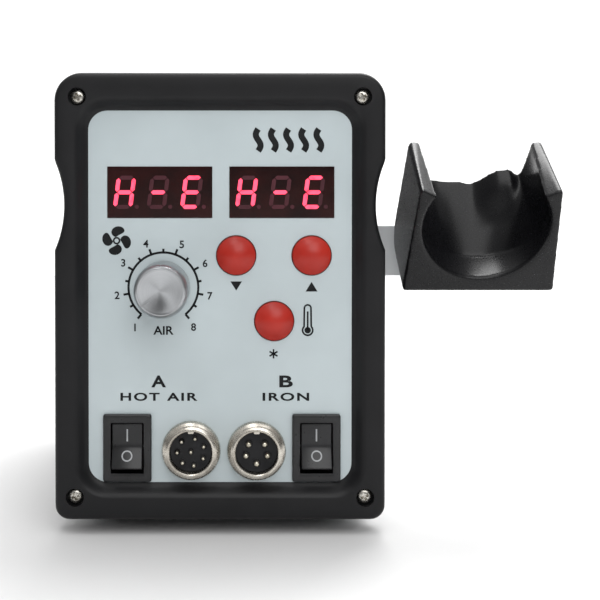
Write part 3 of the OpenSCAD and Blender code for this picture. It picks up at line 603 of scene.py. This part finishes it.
def makeIcons():
    shapes = fanShapes(*icons["fan"]) + thermometerShapes(*icons["thermometer"]) + heatShapes(*icons["heat"])
    for name, way in (("down", -1), ("up", 1)):
        x, z, width, height = icons[name]
        outline = [(x - width / 2, z - way * height / 2), (x + width / 2, z - way * height / 2),
                   (x, z + way * height / 2)]
        shapes.append(extruded(outline, ink["front"], ink["back"]))
    x, z, reach = icons["star"]
    for angle in (0, 60, 120):
        shapes.append(strokeOf([polar(x, z, angle, -reach), polar(x, z, angle, reach)], 0.5))
    return finishPiece(objectOf("iconPrint", shapes), "panel_film", finish=panelInk)


labels = (("A", -19.1, 42.4, 3.7, 4.6, 0.03, 1.0), ("B", 20.5, 42.4, 3.7, 4.2, 0.03, 1.0),
          ("HOT AIR", -19.0, 37.6, 2.56, 24.0, 0.028, 1.2), ("IRON", 20.45, 37.6, 2.56, 14.5, 0.028, 1.2))


def makeLabels():
    shapes = []
    for word, x, z, height, width, heavy, spacing in labels:
        shapes += wordShapes(word, x, z, height, width, heavy, spacing)
    return finishPiece(objectOf("outletLabels", shapes), "panel_film", finish=panelInk)


makeDial()
makeIcons()
makeLabels()
print("panel print made")

digits = {"height": 10.3, "width": 6.0, "stroke": 1.25, "gap": 0.16, "slant": 7.3, "pitch": 10.4,
          "front": 3.42, "back": 3.56, "dot": 0.65, "rim": 0.55}
segmentEnds = {"a": ((0, 1), (1, 1)), "b": ((1, 1), (1, 0.5)), "c": ((1, 0.5), (1, 0)), "d": ((0, 0), (1, 0)),
               "e": ((0, 0.5), (0, 0)), "f": ((0, 1), (0, 0.5)), "g": ((0, 0.5), (1, 0.5))}
litFor = {"H": "bcefg", "-": "g", "E": "adefg"}


def segmentShape(x, z, name):
    # one six-sided bar between the two ends of its segment, leaning with the digit
    d = digits
    ends = []
    for u, v in segmentEnds[name]:
        ends.append(Vector(((u - 0.5) * (d["width"] - d["stroke"]), (v - 0.5) * (d["height"] - d["stroke"]))))
    along = (ends[1] - ends[0]).normalized()
    side = Vector((-along.y, along.x)) * d["stroke"] / 2
    first, last = ends[0] + along * d["gap"], ends[1] - along * d["gap"]
    nib = along * d["stroke"] / 2
    corners = [first, first + nib + side, last - nib + side, last, last - nib - side, first + nib - side]
    lean = math.tan(math.radians(d["slant"]))
    return extruded([(x + c.x + c.y * lean, z + c.y) for c in corners], d["front"], d["back"])


def makeDisplay(node, tag):
    d = digits
    x, z = centreOf(node)
    lit, dim = [], []
    for k, sign in enumerate("H-E"):
        cx = x + (k - 1) * d["pitch"] - 0.5
        for name in segmentEnds:
            (lit if name in litFor[sign] else dim).append(segmentShape(cx, z, name))
        dotX, dotZ = cx + d["width"] / 2 + 0.75, z - d["height"] / 2 + d["dot"]
        dim.append(turned(((d["front"], 0), (d["front"], d["dot"]), (d["back"], d["dot"]), (d["back"], 0)),
                          dotX, dotZ, 20))
    finishPiece(objectOf("litBars" + tag, lit), "led_filter", finish=litSegment)
    finishPiece(objectOf("unlitBars" + tag, dim), "led_filter", finish=dimSegment)


makeDisplay("display_left", "Left")
makeDisplay("display_right", "Right")
print("displays made")


button = {"radius": 6.0, "front": 0.3, "dome": 8.0, "edge": 0.7, "flangeRadius": 6.9, "flangeY": 6.7,
          "plungerRadius": 1.6, "plungerEnd": 10.3}


def makeButton(node):
    # a domed cap whose rim rolls over to a straight wall, on its hidden flange and plunger
    b = button
    x, z = centreOf(node)
    profile = [(b["front"], 0)]
    for i in range(1, 15):
        a = math.radians(43 * i / 14)
        profile.append((b["front"] + b["dome"] * (1 - math.cos(a)), b["dome"] * math.sin(a)))
    y = profile[-1][0]
    for i in range(1, 6):
        a = math.radians(43 + 47 * i / 5)
        profile.append((y + b["edge"] * (math.cos(math.radians(43)) - math.cos(a)),
                        profile[14][1] + (b["radius"] - profile[14][1]) * i / 5))
    profile += [(b["flangeY"], b["radius"]), (b["flangeY"], b["flangeRadius"]),
                (b["flangeY"] + 0.8, b["flangeRadius"]), (b["flangeY"] + 0.8, b["plungerRadius"]),
                (b["plungerEnd"], b["plungerRadius"]), (b["plungerEnd"], 0)]
    return finishPiece(objectOf(node + "Cap", [turned(profile, x, z)]), "red_cap", node, (node,))


for node in ("button_down", "button_up", "button_set"):
    makeButton(node)

knob = {"radius": 8.25, "topRadius": 7.15, "back": 3.0, "front": -12.0, "chamfer": 1.1, "skirt": 2.0,
        "dish": 0.12, "boreRadius": 3.01, "boreEnd": -8.0, "counterRadius": 6.4, "counterEnd": -1.2,
        "pointer": 125.4, "pointerInner": 4.0, "pointerWidth": 0.7, "pointerDepth": 0.35}


def makeKnob():
    k = knob
    x, z = centreOf("knob")
    r, top = k["radius"], k["topRadius"]
    profile = [(k["front"] + k["dish"], 0), (k["front"] + k["dish"], top - 0.9), (k["front"], top - 0.55),
               (k["front"] + 0.03, top - 0.1), (k["front"] + 0.35, top + 0.3),
               (k["front"] + k["chamfer"], r - 0.35),
               (k["front"] + k["chamfer"] + 0.9, r - 0.04), (k["front"] + k["chamfer"] + 1.3, r),
               (k["back"] - k["skirt"] - 0.2, r), (k["back"] - k["skirt"], r - 0.18),
               (k["back"] - k["skirt"] + 0.25, r - 0.18), (k["back"] - k["skirt"] + 0.45, r),
               (k["back"] - 0.15, r), (k["back"], r - 0.15), (k["back"], k["counterRadius"]),
               (k["counterEnd"], k["counterRadius"]), (k["counterEnd"], k["boreRadius"]),
               (k["boreEnd"], k["boreRadius"]), (k["boreEnd"], 0)]
    made = objectOf("airKnob", [turned(profile, x, z, 128)])
    half, ends = k["pointerWidth"] / 2, (k["pointerInner"], top + 0.5)
    corners = []
    for radius, side in ((ends[0], -half), (ends[0], half), (ends[1], half), (ends[1], -half)):
        px, pz = polar(x, z, -k["pointer"], radius)
        qx, qz = polar(0, 0, -k["pointer"] + 90, side)
        corners.append((px + qx, pz + qz))
    carved(made, [extruded(corners, k["front"] - 1, k["front"] + k["pointerDepth"])])
    return finishPiece(made, "spun_aluminium", "air_knob", ("knob",), sharpAngle=25)


makeKnob()
print("buttons and knob made")

socket = {"bore": 6.6, "tube": 7.85, "back": 15.0, "collar": 9.1, "collarBack": 3.5, "barrel": 8.0,
          "rim": -1.0, "pitch": 0.75, "threadDepth": 0.22, "key": (1.8, 0.75, 2.6)}


def makeSocketShell(node):
    # collar, threaded barrel and rim as one turned ring, with its key rib inside at the top
    s = socket
    x, z = centreOf(node)
    profile = [(s["back"], s["bore"]), (s["back"], s["tube"]), (s["collarBack"], s["tube"]),
               (s["collarBack"], s["collar"]), (2.35, s["collar"]), (2.1, s["collar"] - 0.12),
               (1.6, s["collar"] - 0.3), (1.15, s["barrel"] + 0.25), (1.0, s["barrel"])]
    y = 0.95
    while y - s["pitch"] > s["rim"] + 0.35:
        profile += [(y - s["pitch"] * 0.35, s["barrel"] - s["threadDepth"]),
                    (y - s["pitch"] * 0.55, s["barrel"] - s["threadDepth"]), (y - s["pitch"] * 0.9, s["barrel"]),
                    (y - s["pitch"], s["barrel"])]
        y -= s["pitch"]
    profile += [(s["rim"] + 0.2, 7.6), (s["rim"] + 0.05, 7.42), (s["rim"], 7.25), (s["rim"], s["bore"] + 0.25),
                (s["rim"] + 0.2, s["bore"] + 0.03), (s["rim"] + 0.35, s["bore"])]
    made = objectOf(node + "Turned", [turned(profile, x, z, 96)])
    width, depth, length = s["key"]
    top = z + s["bore"] + 0.1
    rib = extruded([(x - width / 2, top), (x - width / 2, top - depth + 0.2), (x - width / 2 + 0.2, top - depth),
                    (x + width / 2 - 0.2, top - depth), (x + width / 2, top - depth + 0.2), (x + width / 2, top)],
                   -0.7, -0.7 + length)
    carved(made, [rib], "UNION")
    return finishPiece(made, "nickel_shell", replaced=(node,), sharpAngle=30)


pinsOf = {"air": [(0, 0)] + [polar(0, 0, 17.5 + 50 * i, 4.27) for i in range(7)],
          "iron": [polar(0, 0, angle, 3.5) for angle in (-108, -45, 45, 108, 180)]}
contact = {"tip": -0.2, "back": 18.0, "collarY": 1.75, "insertBack": 13.5, "insertRadius": 6.59}


def makeContacts(kind, radius):
    # round-nosed pins, and the moulded insert with a raised boss about each pin
    c = contact
    x, z = centreOf(kind + "_socket_shell")
    pins, bosses = [], []
    for px, pz in pinsOf[kind]:
        profile = [(c["tip"], 0)]
        for i in range(1, 7):
            a = math.radians(90 * i / 6)
            profile.append((c["tip"] + radius * 0.8 * (1 - math.cos(a)), radius * math.sin(a)))
        profile += [(c["back"] - 0.2, radius), (c["back"], radius - 0.15), (c["back"], 0)]
        pins.append(turned(profile, x + px, z + pz, 24))
        bosses.append(turned(((c["collarY"], 0), (c["collarY"], radius + 0.35),
                              (c["collarY"] + 0.15, radius + 0.5),
                              (2.6, radius + 0.5), (2.6, 0)), x + px, z + pz, 24))
    finishPiece(objectOf(kind + "Pins", pins), slotOf[kind + "_socket_pins"], replaced=(kind + "_socket_pins",))
    disc = turned(((2.0, 0), (2.0, 5.9), (1.9, 6.1), (1.9, 6.45), (2.05, c["insertRadius"]),
                   (c["insertBack"], c["insertRadius"]), (c["insertBack"], 0)), x, z)
    made = carved(objectOf(kind + "Insert", [disc]), bosses, "UNION")
    drills = [turned(((0, 0), (0, radius + 0.02), (20, radius + 0.02), (20, 0)), x + px, z + pz, 24)
              for px, pz in pinsOf[kind]]
    carved(made, drills)
    finishPiece(made, slotOf[kind + "_socket_insert"], replaced=(kind + "_socket_insert",))


for kind, radius in (("air", 0.5), ("iron", 0.8)):
    makeSocketShell(kind + "_socket_shell")
    makeContacts(kind, radius)
print("sockets made")

switch = {"flange": (7.5, 10.5), "front": 2.0, "back": 3.5, "body": (6.5, 9.5), "bodyBack": 18.0,
          "mouth": (5.05, 7.8), "cavity": (5.05, 8.7), "cavityBack": 16.0, "axisY": 5.3, "tip": 11.0,
          "length": 7.0, "valley": 3.0, "halfWidth": 4.7, "barHeight": 3.75, "barWidth": 0.45, "barAt": 3.4,
          "ringRadius": 1.7, "ringLine": 0.42, "ringAt": -2.9}


def rectRing(y, x, z, halves, radius):
    return [(px, y, pz) for px, pz in roundedRect(x, z, halves[0], halves[1], radius, 5)]


def makeHousing(node):
    s = switch
    x, z = centreOf(node)
    w, h = s["flange"]
    mw, mh = s["mouth"]
    rings = [rectRing(s["bodyBack"], x, z, s["body"], 0.5), rectRing(s["back"], x, z, s["body"], 0.5),
             rectRing(s["back"], x, z, (w, h), 0.7), rectRing(s["front"] + 0.5, x, z, (w, h), 0.7)]
    for i in range(1, 5):
        a = math.radians(90 * i / 4)
        pull = 0.5 * (1 - math.cos(a))
        rings.append(rectRing(s["front"] + 0.5 * (1 - math.sin(a)), x, z, (w - pull, h - pull), 0.7))
    rings += [rectRing(s["front"], x, z, (mw + 0.35, mh + 0.35), 0.5), rectRing(s["front"] + 0.1, x, z,
              (mw + 0.1, mh + 0.1), 0.4), rectRing(s["front"] + 0.35, x, z, (mw, mh), 0.35),
              rectRing(2.45, x, z, (mw, mh), 0.35), rectRing(2.5, x, z, s["cavity"], 0.3),
              rectRing(s["cavityBack"], x, z, s["cavity"], 0.3)]
    return finishPiece(objectOf(node + "Moulding", [stacked(rings)]), slotOf[node], replaced=(node,))


def rockerFace(along):
    # how far the face stands ahead of the axis: two flats that meet in a small rounded valley
    lift = math.tan(math.radians(switch["tip"]))
    return -switch["valley"] - lift * (math.sqrt(along * along + 0.49) - 0.7)


def tipped(point, x, z):
    # from the level rocker to its place, upper half pressed in
    a = math.radians(switch["tip"])
    px, py, pz = point
    return (x + px, switch["axisY"] + py * math.cos(a) + pz * math.sin(a),
            z - py * math.sin(a) + pz * math.cos(a))


def makeRocker(node, body, tag):
    s = switch
    x, z = centreOf(node.replace("rocker", "housing"))
    reach = s["length"] * math.cos(math.radians(s["tip"]))
    face = [(rockerFace(reach * i / 12), reach * i / 12) for i in range(-12, 13)]
    tail = [(face[-1][0] + 1.2, reach + 0.1), (1.5, 3.2), (3.2, 1.6), (3.2, -1.6), (1.5, -3.2),
            (face[0][0] + 1.2, -reach - 0.1)]
    outline = face + tail
    rings = []
    for px, pull in ((-s["halfWidth"], 0.3), (-s["halfWidth"] + 0.09, 0.09), (-s["halfWidth"] + 0.3, 0.0),
                     (s["halfWidth"] - 0.3, 0.0), (s["halfWidth"] - 0.09, 0.09), (s["halfWidth"], 0.3)):
        rings.append([tipped((px, y + pull * (1 if i < len(face) else -0.3), q * (1 - pull / reach)), x, z)
                      for i, (y, q) in enumerate(outline)])
    pivots = [(points, faces) for points, faces in [stacked([[
        tipped((px, 1.2 * math.cos(2 * math.pi * i / 24), 1.2 * math.sin(2 * math.pi * i / 24)), x, z)
        for i in range(24)] for px in (-5.8, 5.8)])]]
    made = carved(objectOf(node + "Moulding", [stacked(rings)]), pivots, "UNION")
    softenEdges(made, 0.25, 3, 45)
    finishPiece(baked(made), slotOf[node], body, (node,), sharpAngle=50)
    bar = [(sx * s["barWidth"] / 2, s["barAt"] + sz * s["barHeight"] / 2) for sx, sz in
           ((-1, -1), (1, -1), (1, 1), (-1, 1))]
    marks = [markOn([bar[0], bar[3]], [bar[1], bar[2]], x, z)]
    ring = [[polar(0, s["ringAt"], 360 * i / 40, s["ringRadius"] - side * s["ringLine"]) for i in range(41)]
            for side in (0, 1)]
    marks.append(markOn(ring[0], ring[1], x, z))
    finishPiece(objectOf("switchMarks" + tag, marks), slotOf[node], body, finish=paleInk)


def markOn(outer, inner, x, z):
    # a printed band between two lines, laid just proud of the rocker's face
    count = len(outer)
    points = [tipped((px, rockerFace(along) + lift, along), x, z) for lift in (-ink["mark"], 0.05)
              for px, along in outer + inner[::-1]]
    return stripFaces(points, count)


for side, tag in (("air", "Left"), ("iron", "Right")):
    makeHousing(side + "_switch_housing")
    makeRocker(side + "_switch_rocker", side + "_rocker", tag)
print("switches made")

screw = {"radius": 2.3, "headFront": 1.4, "headBack": 3.0, "shank": 1.2, "tip": 15.2, "slot": 0.95,
         "reach": 1.65, "depth": 1.5}


def makeFrameScrews():
    # pan heads with a rolled edge and a tapered cross recess
    s = screw
    bodies, crosses = [], []
    for x, z in bezel["screws"]:
        profile = [(s["headFront"], 0), (s["headFront"] + 0.03, 0.9), (s["headFront"] + 0.16, 1.6),
                   (s["headFront"] + 0.45, 2.1), (s["headFront"] + 0.8, s["radius"]), (s["headBack"], s["radius"]),
                   (s["headBack"], s["shank"]), (s["tip"] - 0.6, s["shank"]), (s["tip"], 0.3), (s["tip"], 0)]
        bodies.append(turned(profile, x, z, 40))
        for turn in (20, 110):
            rings = []
            for y, slot, reach in ((s["headFront"] - 1, s["slot"], s["reach"]),
                                   (s["headFront"] + s["depth"], s["slot"] * 0.6, s["reach"] * 0.45)):
                rings.append([])
                for u, v in ((-1, -1), (1, -1), (1, 1), (-1, 1)):
                    a = math.radians(turn)
                    du, dv = u * reach, v * slot / 2
                    rings[-1].append((x + du * math.cos(a) - dv * math.sin(a), y,
                                      z + du * math.sin(a) + dv * math.cos(a)))
            crosses.append(stacked(rings))
    made = carved(objectOf("frameScrews", bodies), crosses)
    return finishPiece(made, slotOf["bezel_screws"], replaced=("bezel_screws",), sharpAngle=30)


makeFrameScrews()
print("frame screws made")


cradle = {"tilt": 32.3, "width": 47.7, "taper": 3.6, "height": 38.3, "depth": 29.0, "corner": 9.0,
          "seatRadius": 19.25, "seatFloor": 5.1, "tipAngle": 124.0, "mitreDepth": 11.9, "mitreTilt": 22.7,
          "rim": ((0, 22.6), (7, 23.2), (11.3, 23.6), (13.5, 24.1), (15.3, 24.9), (16.2, 28.0), (17.1, 32.8),
                  (17.9, 37.6)),
          "bossAt": (11.35, 24.1), "bossRise": 4.3, "bossStart": 17.5, "bossFull": 26.5, "discRadius": 2.4,
          "lead": 1.4,
          "topRound": 2.0, "footRound": 0.9,
          "lugHalf": 6.0, "lugRadius": 4.5, "lugBore": 1.9, "magnetDepth": 9.0, "magnetRadius": 4.02,
          "voxel": 0.4, "rounding": 20, "keep": 0.4}


def smoothStep(value, low, high):
    t = min(max((value - low) / (high - low), 0), 1)
    return t * t * (3 - 2 * t)


def bossLift(x, d, u):
    # the magnet boss swells out of the trough's floor towards the right of the rear rim
    c = cradle
    if u > 30:
        return 0
    across = smoothStep(x, 0.0, 9.0) * (1 - smoothStep(x, 11.5, 16.5))
    return c["bossRise"] * across * smoothStep(d, c["bossStart"], c["bossFull"])


def troughRings():
    # sections of the trough, front to back: a round seat, its mitre plane, and the flat-bottomed rear rim
    c = cradle
    count, lean = 48, math.tan(math.radians(c["mitreTilt"]))
    middle = c["seatFloor"] + c["seatRadius"]
    seat = []
    for i in range(-count, count + 1):
        a = math.radians(c["tipAngle"] * i / count)
        seat.append((c["seatRadius"] * math.sin(a), middle - c["seatRadius"] * math.cos(a)))
    rim = []
    for i in range(-count, count + 1):
        t = abs(i) / count * (len(c["rim"]) - 1)
        k = min(int(t), len(c["rim"]) - 2)
        (x0, u0), (x1, u1) = c["rim"][k], c["rim"][k + 1]
        rim.append((math.copysign(x0 + (x1 - x0) * (t - k), i), u0 + (u1 - u0) * (t - k)))
    top = [(22, 38.56), (22, 60), (-22, 60), (-22, 38.56)]
    front = [(x, -20.0, u) for x, u in seat + top]
    mitre = [(x, c["mitreDepth"] - (u - c["seatFloor"]) * lean, u) for x, u in seat + top]
    back = [(x, c["depth"], u) for x, u in rim + top]
    rings = [front]
    for k in range(25):
        between = [tuple(Vector(p).lerp(Vector(q), k / 24)) for p, q in zip(mitre, back)]
        rings.append([(x, d, u + bossLift(x, d, u)) for x, d, u in between])
    rings.append([(x, c["depth"] + 2, u) for x, d, u in rings[-1]])
    return rings


def makeCradle():
    # a moulded block with tapered walls, its trough cut through, and a boss on the rear rim
    c = cradle
    low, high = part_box("cradle")
    tilt = math.radians(c["tilt"])
    foot = (Vector(((low.x + high.x) / 2, low.y, low.z)) - home) / mm
    foot.y += c["height"] * math.sin(tilt)
    lie = Matrix.Translation(foot) @ Matrix.Rotation(tilt, 4, "X")
    half, top = c["width"] / 2, c["width"] / 2 - c["height"] * math.tan(math.radians(c["taper"]))
    outline = []
    for sx, sz, radius in ((1, 1, c["topRound"]), (-1, 1, c["topRound"]), (-1, -1, c["footRound"]),
                           (1, -1, c["footRound"])):
        first = {(1, 1): 0, (-1, 1): 90, (-1, -1): 180, (1, -1): 270}[(sx, sz)]
        wide, tall = (top, c["height"]) if sz > 0 else (half, 0)
        for i in range(9):
            a = math.radians(first + 90 * i / 8)
            outline.append((sx * (wide - radius) + radius * math.cos(a),
                            tall - sz * radius + radius * math.sin(a)))
    face = extruded(outline, 0, c["depth"])
    side = [(0, 0), (0, 60), (c["depth"], 60)]
    for i in range(13):
        a = math.radians(-90 * i / 12)
        side.append((c["depth"] - c["corner"] + c["corner"] * math.cos(a),
                     c["corner"] + c["corner"] * math.sin(a)))
    made = objectOf("cradleMoulding", [movedBy(face, lie)])
    carved(made, [movedBy(stacked([[(x, d, u) for d, u in side] for x in (-30, 30)]), lie)], "INTERSECT")
    carved(made, [movedBy(stacked(troughRings()), lie)])
    middle = c["seatFloor"] + c["seatRadius"]
    lead = [(-2, 0), (-2, c["seatRadius"] + 2.0)]
    for i in range(6):
        a = math.radians(15 * i)
        lead.append((c["lead"] * (1 - math.cos(a)), c["seatRadius"] + c["lead"] * (1 - math.sin(a))))
    # the last step crosses the seat's wall instead of meeting it at a tangent, so the cut is clean
    lead += [(c["lead"], c["seatRadius"] - 0.4), (c["lead"], 0)]
    carved(made, [movedBy(turned(lead, 0, middle, 96), lie)])
    bx, bu = c["bossAt"]
    disc = [(bx + c["discRadius"] * math.sin(math.radians(a)), bu + c["discRadius"] * math.cos(math.radians(a)))
            for a in range(0, 360, 10)]
    carved(made, [movedBy(extruded(disc, c["bossStart"] - 1, c["bossStart"] + 5.2), lie)])
    pivotLow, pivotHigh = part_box("pivot_nut")
    pivot = ((pivotLow + pivotHigh) / 2 - home) / mm
    axle = Matrix.Translation((foot.x, pivot.y, pivot.z))
    circle = [math.radians(360 * i / 40) for i in range(40)]
    lug = stacked([[(x, c["lugRadius"] * math.cos(a), c["lugRadius"] * math.sin(a)) for a in circle]
                   for x in (-c["lugHalf"], c["lugHalf"])])
    web = stacked([[(x, d, u) for d, u in ((-4.5, 0), (4.5, 0), (4.5, 9), (-4.5, 9))]
                   for x in (-c["lugHalf"], c["lugHalf"])])
    carved(made, [movedBy(lug, axle), movedBy(web, axle @ Matrix.Rotation(tilt, 4, "X"))], "UNION")
    bore = stacked([[(x, c["lugBore"] * math.cos(a), c["lugBore"] * math.sin(a)) for a in circle]
                    for x in (-20, 20)])
    pocket = stacked([[(c["magnetRadius"] * math.cos(a), c["magnetDepth"] + c["magnetRadius"] * math.sin(a), u)
                       for a in circle] for u in (-1, 3)])
    carved(made, [movedBy(bore, axle), movedBy(pocket, lie)])
    skin = made.modifiers.new("skin", "REMESH")
    skin.mode, skin.voxel_size = "VOXEL", c["voxel"] * mm
    rounding = made.modifiers.new("rounding", "SMOOTH")
    rounding.factor, rounding.iterations = 0.5, c["rounding"]
    thin = made.modifiers.new("thin", "DECIMATE")
    thin.ratio = c["keep"]
    return finishPiece(baked(made), "cradle_abs", "cradle_swing", ("cradle",), sharpAngle=60)


makeCradle()
print("cradle made")

softened = {"cradle_bracket": 0.25, "inlet_housing": 0.4, "fuse_drawer": 0.3, "feet": 0.5}
for node, width in softened.items():
    softenEdges(nodes[node], width, 2, 50)


def makeStage():
    # a pale floor that sweeps up into a backdrop, and a room of soft white light
    papers = []
    for name, glow in (("paleFloor", 0.0), ("litBackdrop", 0.55)):
        material, tree, shader, place = newFinish(name, {"Emission Color": (1, 1, 1, 1),
                                                         "Emission Strength": glow})
        slow, fine = slowAndFine(tree, place, 300, 4)
        shadeSurface(tree, shader, slow, ("#dadada", "#d6d6d6"), fine, (0.7, 0.8))
        papers.append(material)
    path = [(-5.0, 0.0), (0.9, 0.0)]
    path += [(0.9 + 0.6 * math.sin(math.radians(a)), 0.6 - 0.6 * math.cos(math.radians(a)))
             for a in range(5, 91, 5)]
    path.append((1.5, 3.0))
    build = bmesh.new()
    rows = [[build.verts.new((x, y, z)) for x in (-3.0, 3.0)] for y, z in path]
    for a, b in zip(rows, rows[1:]):
        build.faces.new((a[0], a[1], b[1], b[0]))
    mesh = bpy.data.meshes.new("paleFloor")
    build.to_mesh(mesh)
    build.free()
    for paper in papers:
        mesh.materials.append(paper)
    for face in mesh.polygons:
        face.material_index = 0 if face.index == 0 else 1
    mesh.shade_smooth()
    floor = bpy.data.objects.new("paleFloor", mesh)
    bpy.context.scene.collection.objects.link(floor)


lamps = (("keyLamp", (-0.2, -0.5, 1.1), 0.35, 1.6), ("frontLamp", (0.2, -0.95, 0.72), 0.8, 5.4),
         ("topLamp", (0.14, 0.3, 0.95), 0.5, 9.0), ("backLamp", (0.3, 0.9, 0.7), 0.8, 5.0))
room = {"colour": "#ffffff", "level": 0.06, "overhead": 1.0}


def makeLights():
    target = Vector((0, -0.03, 0.07))
    for name, place, size, power in lamps:
        data = bpy.data.lights.new(name, "AREA")
        data.shape, data.size, data.energy = "SQUARE", size, power
        lamp = bpy.data.objects.new(name, data)
        lamp.location = place
        lamp.rotation_euler = (target - Vector(place)).to_track_quat("-Z", "Y").to_euler()
        bpy.context.scene.collection.objects.link(lamp)
    world = bpy.data.worlds.new("softRoom")
    world.use_nodes = True
    tree = world.node_tree
    tree.nodes["Background"].inputs["Color"].default_value = linear(room["colour"])
    direction = addNode(tree, "ShaderNodeTexCoord")
    height = addNode(tree, "ShaderNodeSeparateXYZ", {}, {0: direction.outputs["Generated"]})
    sky = addNode(tree, "ShaderNodeMapRange", {"To Min": room["level"], "To Max": room["overhead"]},
                  {"Value": height.outputs["Z"]})
    seen = addNode(tree, "ShaderNodeLightPath")  # the room is dim to light with, but white to look at
    shown = addNode(tree, "ShaderNodeMath", {"operation": "MAXIMUM"},
                    {0: sky.outputs["Result"], 1: seen.outputs["Is Camera Ray"]})
    tree.links.new(shown.outputs["Value"], tree.nodes["Background"].inputs["Strength"])
    bpy.context.scene.world = world
    bpy.context.scene.view_settings.view_transform = "Standard"


view = {"right": 3.07, "back": -353.0, "up": 105.0, "lens": 69.0, "pitch": 1.0, "shift": (0.1167, -0.1665)}


def makeCamera():
    data = bpy.data.cameras.new("benchCamera")
    data.lens, data.shift_x, data.shift_y = view["lens"], view["shift"][0], view["shift"][1]
    camera = bpy.data.objects.new("benchCamera", data)
    camera.location = home + Vector((view["right"], view["back"], view["up"])) * mm
    camera.rotation_euler = (math.radians(90 - view["pitch"]), 0, 0)
    bpy.context.scene.collection.objects.link(camera)
    bpy.context.scene.camera = camera


makeStage()
makeLights()
makeCamera()
print("stage, lights and camera set")

bpy.context.view_layer.update()
